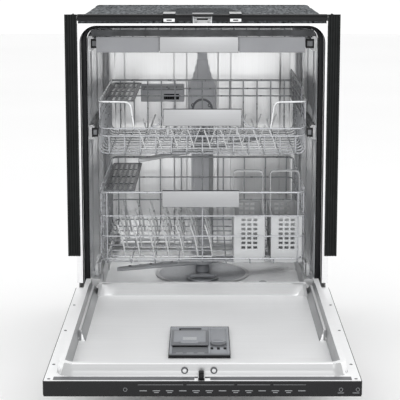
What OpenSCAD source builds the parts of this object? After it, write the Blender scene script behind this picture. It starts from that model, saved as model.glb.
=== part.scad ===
// Built-in dishwasher, shown with its door lowered and its three racks pushed home.
// Millimetres. X runs to the user's right, Y to the back wall, Z up from the floor.

/* [Cabinet] */
// Width of the tub's front flange
flange_w = 600; // [596:1:602]
// Width across the two rubber side trims
trim_w = 640; // [630:1:650]
// Height of the top edge of the trims
trim_top = 857; // [852:1:858]
// Depth from the closed door's inner plane to the rearmost pipe stub
cabinet_d = 590; // [584:1:600]
// Height of the side trims' lower ends
trim_bottom = 283; // [270:1:320]
// Thickness of the tub's steel
tub_wall = 1.2; // [1:0.1:2]
// Half the width of the wash space
tub_half = 270; // [268:0.5:270]
// Depth of the wash space behind the door plane
tub_depth = 560; // [556:1:562]
// Height of the wash space's ceiling
tub_top = 824; // [822:1:826]
// Height of the tub's floor around the filter
tub_floor = 172; // [168:1:174]
// Height of the side ledges that carry the lower rack's wheels
ledge_top = 215; // [212:0.5:215]

/* [Door] */
// Width of the door
door_w = 602; // [596:1:602]
// Length of the door from its near edge to the door plane of the tub
door_l = 680; // [676:1:681]
// Height of the lowered door's inner face
door_top = 207; // [207:0.5:208]
// Thickness of the door
door_t = 29.5; // [27:0.5:29.5]
// Thickness of the door's steel sheets
sheet = 1.5; // [1:0.1:1.6]
// Height of the raised rim round the inner face
rim_h = 24; // [18:1:24]
// Width of the raised rim
rim_w = 18; // [14:1:18]
// Outer half width of the raised rim
rim_half = 281; // [279:1:282]
// Depth of the pan below the door's inner face
pan_drop = 12; // [8:1:12]
// Radius of the hinge pins
hinge_pin_r = 5; // [4:0.5:5]

/* [Racks] */
// Thickness of the rack bars
bar = 3.6; // [3:0.1:4]
// Half the width of the middle and lower racks
rack_half = 250; // [248:0.5:250]
// Front of the racks behind the door plane
rack_front = 52; // [50:1:56]
// Rear of the racks behind the door plane
rack_back = 515; // [505:1:516]
// Height of the upper tray's floor
tray_z = 766; // [764:1:768]
// Height of the middle rack's floor
middle_z = 516; // [515:0.5:518]
// Height of the lower rack's floor
lower_z = 244; // [242:1:246]
// Width of the handle plates on the rack fronts
handle_w = 186; // [170:2:200]
// Width of the folding cup shelves
shelf_w = 78; // [60:1:79]
// Radius of the lower rack's wheels
wheel_r = 16; // [15:0.5:16]
// Width of a cutlery basket
cutlery_w = 77; // [70:1:78]
// Length of a cutlery basket from front to back
cutlery_l = 196; // [180:2:200]

/* [Wash system] */
// Reach of the middle spray arm from its pivot
middle_arm_r = 240; // [220:1:240]
// Reach of the lower spray arm from its pivot
lower_arm_r = 235; // [220:1:235]
// Radius of the spray arms' pivots
pivot_r = 8; // [6:0.5:9]
// Distance of the spray arms' pivot from the door plane
pivot_y = 290; // [285:1:295]
// Radius of the water inlet's spigot
inlet_r = 13.2; // [12:0.1:14]
// Outer radius of the drain hose's spigot
drain_r = 9.5; // [9:0.1:10]
// Radius of the cable entry in the junction box
conduit_r = 11.1; // [10:0.1:12]

/* [Hardware] */
// Radius of the screw holes in the worktop brackets
bracket_hole_r = 2.5; // [2:0.1:3]
// Distance between the worktop brackets' screw holes
bracket_pitch = 154; // [140:1:170]
// Radius of the screw holes for a decor panel
panel_hole_r = 2.2; // [1.8:0.1:2.6]
// Distance across the decor panel's screw holes
panel_pitch_x = 500; // [460:5:520]
// Distance along the door between the decor panel's screw holes
panel_pitch_y = 400; // [360:5:420]
// Radius of the levelling feet
foot_r = 20; // [16:1:24]

/* [Hidden] */
$fn = 48;

// The row's origin is on the floor in the middle of the whole object, the lowered door included.
origin_shift = (door_l - cabinet_d) / 2;
gap = 0.4;
seam = 0.1;
running = 0.05;
flange_y = 6;
mouth_half = 286;
mouth_d = 42;
mouth_low = 176;
mouth_top = 831;
flange_low = 216;
lip_top = 190;
mouth_back = mouth_d + tub_wall;
rear_fold_y = tub_depth - 32;
well_half = 246;
corner_r = 30;
pivot_door_y = -16;
pivot_door_z = 191;
door_low = door_top - door_t;
pan_z = door_top - pan_drop;
pan_low = pan_z - sheet;
rim_z = door_top + rim_h;
pan_half = rim_half - rim_w;
pan_y = [-632, -28];
rim_y = [-650, -8];
liner_back = -1.5;
sill_top = 222;
track_z = ledge_top - 0.5;
track_x = [248, 255];
track_front = -377;
track_in = track_x[0] - 1;
strike_half = 22;
feet_z = 22;
pan_top = 58;
sump_y = 270;
sump_r = 116;
filter_y = 215;
filter_r = 36;
duct_y = 546;
rail_clear = 0.5;
shelf_t = 4;
shelf_pin_r = 1.5;
shelf_y0 = 110;
shelf_y1 = 500;
shelf_axis = 240;
axle_z = ledge_top + 1 + wheel_r;
axle_y = [77, 455];
dispenser_y = [-503, -303];
dispenser_x = [-69, 57];
cup_x = [-62, 9];
cup_y = [-437, -342];
cap_pos = [33, -425];
latch_axis = [-667, 209.2];
tine_h = 84;
tine_pitch = 37;

// Everything is drawn from the door plane and moved to the row's origin.
module place() translate([0, origin_shift, 0]) children();

// A box between two opposite corners.
module box(lo, hi) translate(lo) cube(hi - lo);

// A shape and its mirror image on the other side.
module pair() {
    children();
    mirror([1, 0, 0]) children();
}

// Round bars along each axis, from their lower end.
module rod_x(x0, x1, y, z, r) translate([x0, y, z]) rotate([0, 90, 0]) cylinder(h = x1 - x0, r = r);
module rod_y(x, y0, y1, z, r) translate([x, y0, z]) rotate([-90, 0, 0]) cylinder(h = y1 - y0, r = r);
module rod_z(x, y, z0, z1, r) translate([x, y, z0]) cylinder(h = z1 - z0, r = r);

// A flat grid of bars, lying in the plane of its name.
module grid(w, h, nx, ny, t = bar) {
    for (i = [0:nx]) translate([i * (w - t) / nx, 0]) square([t, h]);
    for (j = [0:ny]) translate([0, j * (h - t) / ny]) square([w, t]);
}
module grid_xy(lo, w, d, nx, ny) translate(lo) linear_extrude(bar) grid(w, d, nx, ny);
module grid_xz(lo, w, h, nx, nz)
    translate(lo + [0, bar, 0]) rotate([90, 0, 0]) linear_extrude(bar) grid(w, h, nx, nz);
module grid_yz(lo, d, h, ny, nz)
    translate(lo) rotate([90, 0, 90]) linear_extrude(bar) grid(d, h, ny, nz);

// A plan outline with two rounded corners at its rear.
module plan(half, y0, y1, r) {
    translate([-half, y0]) square([2 * half, y1 - y0 - r]);
    translate([r - half, y0]) square([2 * (half - r), y1 - y0]);
    for (s = [-1, 1]) translate([s * (half - r), y1 - r]) circle(r);
}

// ---- Cabinet ----

// The tub is a steel box of pressed panels, which meet at fine welded seams.
module tub_mouth() difference() {
    w = tub_wall;
    union() {
        box([-mouth_half - w, flange_y, mouth_low - w], [mouth_half + w, mouth_back, mouth_top + w]);
        box([-flange_w / 2, flange_y, flange_low], [flange_w / 2, flange_y + w, trim_top - 15.2]);
    }
    box([-mouth_half, 0, mouth_low], [mouth_half, mouth_d, mouth_top]);
    box([-tub_half, mouth_d - 1, ledge_top], [tub_half, mouth_back + 1, tub_top]);
    box([-well_half, mouth_d - 1, lip_top], [well_half, mouth_back + 1, ledge_top + 1]);
    box([-strike_half - 2, 0, mouth_top - 1], [strike_half + 2, flange_y + w + 0.1, trim_top]);
}

module tub_roof() translate([0, 0, tub_top]) linear_extrude(tub_wall)
    plan(tub_half + tub_wall, mouth_back + seam, tub_depth + tub_wall, corner_r);

module tub_side() box([tub_half, mouth_back + seam, ledge_top + seam],
    [tub_half + tub_wall, rear_fold_y - seam, tub_top - seam]);

// The rear wall, folded forward round both corners.
module tub_rear() translate([0, 0, ledge_top + seam])
    linear_extrude(tub_top - ledge_top - 2 * seam) difference() {
        plan(tub_half + tub_wall, rear_fold_y - corner_r, tub_depth + tub_wall, corner_r);
        plan(tub_half, rear_fold_y - corner_r - 1, tub_depth, corner_r);
        translate([-mouth_half, 0]) square([2 * mouth_half, rear_fold_y]);
    }

module tub_floor_pan() difference() {
    w = tub_wall;
    union() {
        translate([0, 0, ledge_top - w]) linear_extrude(w)
            plan(tub_half + w, mouth_back + seam, tub_depth + w, corner_r);
        translate([0, 0, tub_floor - w]) linear_extrude(ledge_top - tub_floor)
            plan(well_half + w, mouth_back + seam, tub_depth + w, corner_r);
    }
    translate([0, 0, tub_floor]) linear_extrude(ledge_top)
        plan(well_half, mouth_back - 1, tub_depth, corner_r);
    rod_z(0, sump_y, tub_floor - 5, tub_floor + 1, sump_r - 6);
}

module tub() place() color([0.80, 0.81, 0.82]) {
    tub_mouth();
    tub_roof();
    pair() tub_side();
    tub_rear();
    tub_floor_pan();
}

module sound_blanket() place() color([0.20, 0.21, 0.22]) difference() {
    box([-290, 46, 300], [290, 500, trim_top - 4]);
    box([-mouth_half + 12, 45, 299], [mouth_half - 12, 501, tub_top + 3]);
}

module door_gasket() place() color([0.10, 0.10, 0.11]) difference() {
    box([-mouth_half, 30, lip_top], [mouth_half, mouth_d, mouth_top]);
    box([-tub_half - 2, 29, lip_top - 1], [tub_half + 2, mouth_d + 1, tub_top + 1]);
}

module side_trim(s) color([0.05, 0.05, 0.05]) {
    edge = trim_w / 2;
    mirror([s < 0 ? 1 : 0, 0, 0]) union() {
        box([291, 1, trim_bottom], [edge, flange_y, trim_top]);
        box([flange_w / 2 + 0.5, flange_y - 1, trim_bottom], [flange_w / 2 + 4, 40, trim_top]);
    }
}
module side_trim_left() place() side_trim(-1);
module side_trim_right() place() side_trim(1);

module top_trim() place() color([0.04, 0.04, 0.04]) difference() {
    box([-290.6, 1.5, trim_top - 15], [290.6, 20, trim_top]);
    box([-strike_half - 2, 1, trim_top - 16], [strike_half + 2, 21, trim_top - 4]);
}

module counter_brackets() place() color([0.75, 0.76, 0.77])
    for (x = [-bracket_pitch / 2, bracket_pitch / 2]) difference() {
        union() {
            box([x - 14, 0.4, trim_top - 17], [x + 14, 1.4, trim_top + 3]);
            box([x - 14, 0.4, trim_top + 1], [x + 14, 60, trim_top + 3]);
        }
        rod_z(x, 30, trim_top, trim_top + 4, bracket_hole_r);
    }

module door_strike() place() color([0.70, 0.71, 0.72]) {
    union() {
        box([-strike_half, 21, 834], [strike_half, 23, trim_top - 5]);
        pair() box([strike_half - 2, 8, 834], [strike_half, 22, trim_top - 5]);
        rod_x(1 - strike_half, strike_half - 1, 14, 849.5, 2.5);
    }
}

module base_pan() place() color([0.55, 0.56, 0.57]) difference() {
    box([-294, 60, feet_z], [294, 575, pan_top]);
    box([-291, 63, feet_z + 3], [291, 572, pan_top + 1]);
}

// A side frame carries the tub, the base pan and the hinge pin's ear under the door.
module side_frame(s) color([0.72, 0.73, 0.74]) mirror([s < 0 ? 1 : 0, 0, 0]) difference() {
    union() {
        box([294, flange_y + tub_wall, 216], [296, 575, tub_top + 4]);
        box([294, 12, 30], [296, 575, 220]);
        box([294, pivot_door_y - 9, 150], [296, 20, 164]);
        box([294, pivot_door_y - 9, 150], [296, pivot_door_y + 9, pivot_door_z]);
        rod_x(294, 296, pivot_door_y, pivot_door_z, 9);
    }
    box([293, 80, 290], [297, 520, 780]);
    rod_x(293, 297, pivot_door_y, pivot_door_z, hinge_pin_r + running);
}
module frame_left() place() side_frame(-1);
module frame_right() place() side_frame(1);

module levelling_feet() place() color([0.12, 0.12, 0.12])
    for (x = [-262, 262], y = [95, 540]) {
        rod_z(x, y, 0, 7, foot_r);
        rod_z(x, y, 6, feet_z, 6);
    }

module toe_kick() place() color([0.06, 0.06, 0.06]) box([-290, 52, feet_z], [290, 54, 150]);

module toe_kick_screws() place() color([0.5, 0.5, 0.5])
    pair() rod_y(230, 49.5, 52, 120, 4.5);

// ---- Wash system ----

module sump() place() color([0.35, 0.36, 0.38]) {
    floor_low = tub_floor - tub_wall;
    union() {
        difference() {
            rod_z(0, sump_y, 92, floor_low, sump_r);
            rod_z(0, sump_y, 96, floor_low + 1, sump_r - 4);
        }
        rod_z(0, pivot_y, 94, 192, 18);
        rod_z(0, pivot_y, 190, 214, pivot_r);
        rod_z(0, pivot_y, 212, 217, pivot_r + 6);
    }
}

module filter_plate() place() color([0.62, 0.63, 0.64]) difference() {
    rod_z(0, sump_y, tub_floor, tub_floor + 2, sump_r + 6);
    rod_z(0, filter_y, tub_floor - 1, tub_floor + 3, filter_r + 0.8);
    rod_z(0, pivot_y, tub_floor - 1, tub_floor + 3, 18.8);
}

module filter_cylinder() place() color([0.60, 0.61, 0.63]) {
    brim = tub_floor + 2.4;
    union() {
        difference() {
            rod_z(0, filter_y, 98, brim + 2.6, filter_r);
            rod_z(0, filter_y, 100, brim + 4, filter_r - 3);
        }
        difference() {
            rod_z(0, filter_y, brim, brim + 2.6, filter_r + 5);
            rod_z(0, filter_y, brim - 1, brim + 4, filter_r - 3);
        }
        box([-filter_r + 1, filter_y - 4, brim], [filter_r - 1, filter_y + 4, brim + 9]);
    }
}

module circulation_pump() place() color([0.30, 0.31, 0.33]) union() {
    rod_y(-175, 270, 420, 118, 40);
    rod_y(-175, 240, 275, 118, 50);
    rod_x(-175, -sump_r - 2, 258, 118, 16);
}

module drain_pump() place() color([0.22, 0.23, 0.25]) union() {
    rod_y(165, 230, 320, 110, 27);
    rod_x(sump_r + 2, 165, 256, 110, 12);
}

module drain_outlet() place() color([0.16, 0.16, 0.17]) difference() {
    union() {
        rod_y(-230, 540, cabinet_d, 95, drain_r);
        box([-252, 572, pan_top], [-208, 575, 120]);
    }
    rod_y(-230, 539, cabinet_d + 1, 95, drain_r - 2.5);
}

module inlet_valve() place() color([0.85, 0.85, 0.83]) difference() {
    union() {
        box([190, 500, pan_top], [235, 575, 122]);
        rod_y(213, 574, cabinet_d, 92, inlet_r);
    }
    rod_y(213, 560, cabinet_d + 1, 92, inlet_r - 4);
}

module junction_box() place() color([0.66, 0.67, 0.68]) difference() {
    box([205, 75, pan_top], [285, 150, 112]);
    box([206.5, 76.5, pan_top + 1.5], [283.5, 148.5, 110.5]);
    rod_y(262, 140, 160, 85, conduit_r);
    box([225, 74, 70], [265, 80, 100]);
}

module float_switch() place() color([0.40, 0.41, 0.42]) union() {
    rod_z(150, 120, tub_floor, 182, 17);
    rod_z(150, 120, 181, 190, 12);
}

// The rear water duct widens like a rocket behind the middle rack and carries its docking stub.
module feed_duct() place() color([0.56, 0.57, 0.60]) {
    half = [[9.6, 812], [9.6, 712], [13.7, 690], [26, 655], [38, 629], [38, 548], [30, 520], [30, 176]];
    right = [for (p = half) p];
    left = [for (i = [len(half) - 1:-1:0]) [-half[i][0], half[i][1]]];
    union() {
        translate([0, tub_depth, 0]) rotate([90, 0, 0]) linear_extrude(tub_depth - duct_y)
            polygon(concat(right, left));
        rod_y(0, 524, duct_y + 1, 511, 13);
    }
}

module ceiling_nozzle() place() color([0.58, 0.59, 0.61]) union() {
    rod_z(0, 300, 809, tub_top, 42);
    box([-9, 330, 813], [9, tub_depth, tub_top]);
}

// Telescopic rails: an outer channel on the tub, a sliding member, and a runner on the rack.
module rail_channel(x0, x1, z0, z1, lip) pair() difference() {
    box([x0, 60, z0], [x1, 520, z1]);
    box([x0 - 1, 59, z0 + lip], [x1 - lip, 521, z1 - lip]);
}
module rail_outer(z0) rail_channel(260.5, tub_half, z0, z0 + 34, 2.5);
module rail_slider(z0) rail_channel(257.5, 267, z0 + 2.5 + rail_clear, z0 + 31.5 - rail_clear, 2.5);
module rail_runner(x0, z0) pair()
    box([x0, 60, z0 + 5.5 + rail_clear], [264, 510, z0 + 28.5 - rail_clear]);
middle_rail_z = 556;
top_rail_z = 768;

module middle_rails() place() color([0.70, 0.71, 0.72]) rail_outer(middle_rail_z);
module middle_rail_sliders() place() color([0.62, 0.63, 0.64]) rail_slider(middle_rail_z);
module top_rails() place() color([0.70, 0.71, 0.72]) rail_outer(top_rail_z);
module top_rail_sliders() place() color([0.62, 0.63, 0.64]) rail_slider(top_rail_z);

module vent_cover() place() color([0.58, 0.59, 0.61]) difference() {
    box([-169, 549, 585], [-50, tub_depth, 634]);
    for (i = [0:4]) translate([-106 + i * 7.5, 0, 0]) box([0, 548, 592], [4, 553, 604]);
    box([-164, 548, 592], [-112, 551, 603]);
}

// ---- Door, lowered ----

// The raised rim beside and in front of the sunken pan, with the flange and its folded edges.
module liner_rim() difference() {
    union() {
        box([-door_w / 2, -door_l + 4, door_top - sheet], [door_w / 2, liner_back, door_top]);
        box([-rim_half, rim_y[0], pan_low], [rim_half, rim_y[1], rim_z]);
        pair() box([door_w / 2 - sheet, -door_l + 4, door_low + sheet], [door_w / 2, -30, door_top]);
    }
    box([-pan_half, pan_y[0], door_low], [pan_half, 1, rim_z + 1]);
    difference() {
        box([sheet - rim_half, sheet + rim_y[0], pan_low - 1],
            [rim_half - sheet, rim_y[1] - sheet, rim_z - sheet]);
        box([-pan_half - sheet, pan_y[0] - sheet, pan_low - 2], [pan_half + sheet, 1, rim_z + 1]);
        box([-rim_half, pan_y[1] - sheet, sill_top - sheet], [rim_half, 1, rim_z + 1]);
    }
    box([-rim_half - 1, pan_y[1] - sheet, sill_top], [rim_half + 1, 1, rim_z + 1]);
}

module liner_pan() difference() {
    half = track_in - seam;
    box([-half, pan_y[0] + seam, pan_low], [half, pan_y[1] - seam, pan_z]);
    box([dispenser_x[0] + 4, dispenser_y[0] + 4, door_low],
        [dispenser_x[1] - 4, dispenser_y[1] - 4, rim_z]);
}

// The sill on the hinge side, between the two ways that the lower rack's wheels take.
module liner_sill() difference() {
    half = track_in - seam;
    union() {
        box([-half, pan_y[1], pan_low], [half, rim_y[1], sill_top]);
        box([-half, rim_y[1] - 1, door_top - sheet], [half, liner_back, door_top]);
    }
    box([-half - 1, pan_y[1] + sheet, pan_low - 1], [half + 1, rim_y[1] - sheet, sill_top - sheet]);
}

// A strip of the pan that rises to a shoulder for the wheels and runs on through the sill.
module wheel_track() {
    out = pan_half - seam;
    union() {
        box([track_in, pan_y[0] + seam, pan_low], [out, track_front + 1, pan_z]);
        translate([0, rim_y[1], 0]) rotate([90, 0, 0]) linear_extrude(rim_y[1] - track_front)
            polygon([[track_in, pan_low], [track_in, pan_z], [track_x[0], pan_z], [track_x[1], track_z],
                [out, track_z], [out, track_z - sheet], [track_x[1] + 1, track_z - sheet],
                [track_x[0] + sheet, pan_low]]);
        translate([0, track_front + sheet, 0]) rotate([90, 0, 0]) linear_extrude(sheet)
            polygon([[track_in, pan_low], [track_in, pan_z], [track_x[0], pan_z], [track_x[1], track_z],
                [out, track_z], [out, pan_low]]);
        box([track_in, rim_y[1] - 1, door_top - sheet], [out, liner_back, door_top]);
    }
}

module door_liner() place() color([0.72, 0.73, 0.74]) {
    liner_rim();
    liner_pan();
    liner_sill();
    pair() wheel_track();
}

module door_outer_panel() place() color([0.10, 0.10, 0.11]) difference() {
    box([-door_w / 2, -door_l + 4, door_low], [door_w / 2, -60, door_low + sheet]);
    for (x = [-1, 1], y = [-1, 1])
        rod_z(x * panel_pitch_x / 2, y * panel_pitch_y / 2 - 360, door_low - 1, door_low + sheet + 1,
            panel_hole_r);
}

module door_insulation() place() color([0.22, 0.22, 0.23]) difference() {
    box([-284, -630, door_low + sheet + 1], [284, -90, pan_z - sheet - 1]);
    box([dispenser_x[0] - 4, dispenser_y[0] - 4, door_low], [dispenser_x[1] + 4, dispenser_y[1] + 4, 230]);
    for (x = [-1, 1], y = [-1, 1])
        rod_z(x * panel_pitch_x / 2, y * panel_pitch_y / 2 - 360, door_low - 1, door_top, 8);
}

module control_panel() place() color([0.05, 0.05, 0.055]) union() {
    box([-door_w / 2, -door_l, door_low], [door_w / 2, -door_l + 4, door_top]);
    box([-296, -door_l + 3, door_low + sheet + gap], [296, rim_y[0] - gap, door_top - sheet - gap]);
}

module latch_housing() place() color([0.05, 0.05, 0.05]) difference() {
    box([-15, -675, door_top], [15, -653, door_top + 3]);
    box([-8, -674, door_top - 1], [4, -660, door_top + 4]);
}

module latch_hook() place() color([0.04, 0.04, 0.04]) union() {
    box([-7, -671, door_top + 3 * gap], [3, -663, 220]);
    rod_x(-7.8, 3.8, latch_axis[0], latch_axis[1], 0.9);
    box([-7, -671, 219], [3, -660.5, 223]);
}

module dispenser_housing() place() color([0.62, 0.63, 0.65]) difference() {
    union() {
        box([dispenser_x[0], dispenser_y[0], pan_z], [dispenser_x[1], dispenser_y[1], pan_z + 6]);
        box([dispenser_x[0] + 4.5, dispenser_y[0] + 4.5, 180],
            [dispenser_x[1] - 4.5, dispenser_y[1] - 4.5, pan_z + 1]);
    }
    box([cup_x[0], cup_y[0], 182], [cup_x[1], cup_y[1], 220]);
    rod_z(cap_pos[0], cap_pos[1], 184, 220, 14);
    box([-50, -332, 190], [-2, -312, 220]);
}

module dispenser_lid() place() color([0.50, 0.51, 0.53]) union() {
    low = pan_z + 6.3;
    box([cup_x[0] - 3, cup_y[0] - 3, low], [cup_x[1] + 3, cup_y[1] + 3, low + 3]);
    box([cup_x[0] + 20, cup_y[0] + 4, low + 2], [cup_x[1] - 20, cup_y[0] + 12, low + 6]);
}

module rinse_aid_cap() place() color([0.45, 0.46, 0.48]) union() {
    low = pan_z + 6.3;
    rod_z(cap_pos[0], cap_pos[1], 186, low + 1, 13.92);
    rod_z(cap_pos[0], cap_pos[1], low, low + 3, 17);
    box([cap_pos[0] - 14, cap_pos[1] - 2.5, low + 2], [cap_pos[0] + 14, cap_pos[1] + 2.5, low + 6]);
}

module hinge_arms() place() color([0.60, 0.61, 0.62]) pair() union() {
    box([288.5, -300, 182], [292.5, pivot_door_y, door_top - sheet]);
    rod_x(288.5, 292.5, pivot_door_y, pivot_door_z, 9);
    rod_x(288.5, 298, pivot_door_y, pivot_door_z, hinge_pin_r);
}

module liner_plugs() place() color([0.30, 0.30, 0.31])
    for (x = [-34, 22]) rod_y(x, -653, -650, door_top + 12, 6.5);

module liner_screws() place() color([0.45, 0.45, 0.46])
    for (y = [-155, -352, -578, -664]) pair() rod_z(292, y, door_top, door_top + 0.8, 3.2);

// ---- Racks ----

// An open basket: a floor and four upright grids, with the front lower than the rest.
module basket(half, y0, y1, z0, front_h, side_h, nx, ny) {
    inner_y = y0 + bar + gap / 2;
    length = y1 - y0 - 2 * bar - gap;
    grid_xy([-half + bar + gap, inner_y, z0], 2 * (half - bar - gap), length, nx, ny);
    grid_xz([-half, y0, z0], 2 * half, front_h, nx / 2, 2);
    grid_xz([-half, y1 - bar, z0], 2 * half, side_h, nx, 3);
    for (x = [-half, half - bar]) grid_yz([x, inner_y, z0], length, side_h, ny, 3);
}

// A thin handle plate with a finger lip along the top of its back.
module handle_plate(x, y0, z0, h) {
    box([x - handle_w / 2, y0, z0], [x + handle_w / 2, y0 + 4, z0 + h]);
    box([x - handle_w / 2, y0 + 3, z0 + h - 4], [x + handle_w / 2, y0 + 8, z0 + h]);
}

// A perforated shelf that folds about its outer long edge.
// A pierced shelf with a hinge pin at both ends of its inner edge.
module shelf_plate() union() {
    linear_extrude(shelf_t) difference() {
        square([shelf_w, shelf_y1 - shelf_y0]);
        for (i = [0:5], j = [0:25])
            translate([9 + i * (shelf_w - 18) / 5, 12 + j * 14.6]) square([7, 8], center = true);
    }
    rod_y(3, -3, shelf_y1 - shelf_y0 + 3, shelf_t / 2, shelf_pin_r);
}

module top_tray() place() color([0.70, 0.71, 0.73]) union() {
    basket(245, 50, rack_back - 5, tray_z, 8, 30, 14, 12);
    rail_runner(245, top_rail_z);
}

module top_tray_handle() place() color([0.66, 0.67, 0.69]) union() {
    handle_plate(-8, 42, 765, 38);
    box([-90, 45, tray_z], [74, 50, tray_z + 8]);
}

module top_tray_wings() place() color([0.33, 0.34, 0.36])
    for (x = [[-250, -103], [87, 242]]) box([x[0], 44, 765], [x[1], 49.6, 802]);

module middle_rack() place() color([0.74, 0.75, 0.77]) union() {
    basket(rack_half, rack_front, rack_back, middle_z, 69, 134, 14, 12);
    rail_runner(rack_half, middle_rail_z);
}

module middle_rack_handle() place() color([0.76, 0.77, 0.79]) union() {
    handle_plate(0, rack_front - 8, 590, 41);
    for (x = [-85, 81]) {
        box([x, rack_front - 5, middle_z + 50], [x + 4, rack_front, 595]);
    }
}

module middle_spray_feed() place() color([0.68, 0.69, 0.71]) union() {
    box([-13, pivot_y, 507.5], [13, 520, middle_z - gap]);
    rod_z(0, pivot_y, 507.5, middle_z - gap, 24);
    rod_z(0, pivot_y, 487, 508, pivot_r);
    rod_z(0, pivot_y, 485, 489.5, pivot_r + 6);
}

// A two-ended spray arm with its hub, blades and jet holes.
module spray_arm(reach, z0, h, angle) translate([0, pivot_y, z0]) rotate([0, 0, angle]) difference() {
    union() {
        for (s = [0, 180]) rotate([0, 0, s]) linear_extrude(h - 3) {
            polygon([[0, -22], [reach - 14, -13], [reach - 14, 13], [0, 22]]);
            translate([reach - 14, 0]) circle(14);
        }
        cylinder(h = h, r = 30);
    }
    translate([0, 0, -1]) cylinder(h = h + 2, r = pivot_r + running);
    for (s = [-1, 1], i = [0:5])
        translate([s * (60 + i * (reach - 90) / 5), 0, h - 6]) cylinder(h = 4, r = 2);
}

module middle_spray_arm() place() color([0.78, 0.79, 0.80]) spray_arm(middle_arm_r, 491, 14, 49.5);
module lower_spray_arm() place() color([0.40, 0.41, 0.43]) spray_arm(lower_arm_r, 194, 15, 22.4);

module cup_shelf_left() place() color([0.36, 0.37, 0.39])
    translate([-shelf_axis - 3, shelf_y0, 640]) shelf_plate();

module cup_shelf_right() place() color([0.55, 0.56, 0.58])
    translate([shelf_axis + 2, shelf_y0, 603]) rotate([0, -90, 0]) shelf_plate();

module lower_cup_shelf() place() color([0.36, 0.37, 0.39])
    translate([-shelf_axis - 3, shelf_y0, 419]) shelf_plate();

// A row of upright prongs on a rail.
module tine_row(x0, count, y, z0) {
    box([x0, y - bar / 2, z0], [x0 + (count - 1) * tine_pitch + bar, y + bar / 2, z0 + bar]);
    for (i = [0:count - 1])
        box([x0 + i * tine_pitch, y - bar / 2, z0], [x0 + i * tine_pitch + bar, y + bar / 2, z0 + tine_h]);
}

module lower_rack() place() color([0.74, 0.75, 0.77]) {
    union() {
        basket(rack_half, 60, rack_back, lower_z, 184, 193, 14, 12);
        for (y = axle_y) pair() {
            box([rack_half, y - 8, axle_z - 8], [rack_half + 1.5, y + 8, axle_z + 14]);
            rod_x(rack_half + 1, pan_half - 2 * gap, y, axle_z, 4);
        }
    }
    for (y = [225, 320, 415]) tine_row(-200, 7, y, lower_z + bar + gap);
}

module folding_tines() place() color([0.78, 0.79, 0.80]) union() {
    z0 = lower_z + bar + 3 * gap;
    tine_row(-200, 7, 130, z0);
    rod_x(-203, -197 + 6 * tine_pitch + bar, 130, z0 + bar / 2, bar / 2 - 0.1);
}

module lower_rack_handle() place() color([0.76, 0.77, 0.79]) union() {
    handle_plate(-4, 52, 391, 41);
    for (x = [-80, 66]) box([x, 55, 400], [x + 6, 60, 426]);
}

// A cutlery basket: pierced upright walls, a solid foot and a bail handle across the top.
module cutlery_basket(x0) {
    x1 = x0 + cutlery_w;
    y0 = 80;
    y1 = y0 + cutlery_l;
    z0 = lower_z + bar + gap;
    z1 = 364;
    t = 2.4;
    union() {
        difference() {
            box([x0, y0, z0], [x1, y1, z1]);
            box([x0 + t, y0 + t, z0 + t], [x1 - t, y1 - t, z1 + 1]);
            for (i = [0:2], k = [0:6])
                box([x0 + 19 + i * 14.5, y0 - 1, z0 + 34 + k * 11.5],
                    [x0 + 29 + i * 14.5, y1 + 1, z0 + 40 + k * 11.5]);
        }
        for (x = [x0, x1 - 4]) box([x, (y0 + y1) / 2 - 8, z1 - 5], [x + 4, (y0 + y1) / 2 + 8, 462]);
        box([x0, (y0 + y1) / 2 - 8, 457], [x1, (y0 + y1) / 2 + 8, 462]);
    }
}
module cutlery_basket_left() place() color([0.72, 0.73, 0.74]) cutlery_basket(76);
module cutlery_basket_right() place() color([0.72, 0.73, 0.74]) cutlery_basket(167);

module roller_pair(y) pair() difference() {
    rod_x(rack_half + 2.4, 261.5, y, axle_z, wheel_r);
    rod_x(rack_half, 263, y, axle_z, 4 + running);
}
module rollers_front() place() color([0.66, 0.67, 0.68]) roller_pair(axle_y[0]);
module rollers_rear() place() color([0.66, 0.67, 0.68]) roller_pair(axle_y[1]);

tub();
sound_blanket();
door_gasket();
side_trim_left();
side_trim_right();
top_trim();
counter_brackets();
door_strike();
base_pan();
frame_left();
frame_right();
levelling_feet();
toe_kick();
toe_kick_screws();
sump();
filter_plate();
filter_cylinder();
circulation_pump();
drain_pump();
drain_outlet();
inlet_valve();
junction_box();
float_switch();
feed_duct();
ceiling_nozzle();
middle_rails();
middle_rail_sliders();
top_rails();
top_rail_sliders();
vent_cover();
door_liner();
door_outer_panel();
door_insulation();
control_panel();
latch_housing();
latch_hook();
dispenser_housing();
dispenser_lid();
rinse_aid_cap();
hinge_arms();
liner_plugs();
liner_screws();
top_tray();
top_tray_handle();
top_tray_wings();
middle_rack();
middle_rack_handle();
middle_spray_feed();
middle_spray_arm();
cup_shelf_left();
cup_shelf_right();
lower_rack();
lower_rack_handle();
lower_cup_shelf();
folding_tines();
cutlery_basket_left();
cutlery_basket_right();
rollers_front();
rollers_rear();
lower_spray_arm();
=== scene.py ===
"""A built-in dishwasher with its door lowered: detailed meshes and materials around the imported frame."""
import math

import bmesh
import bpy
from mathutils import Matrix, Vector, noise


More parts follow.
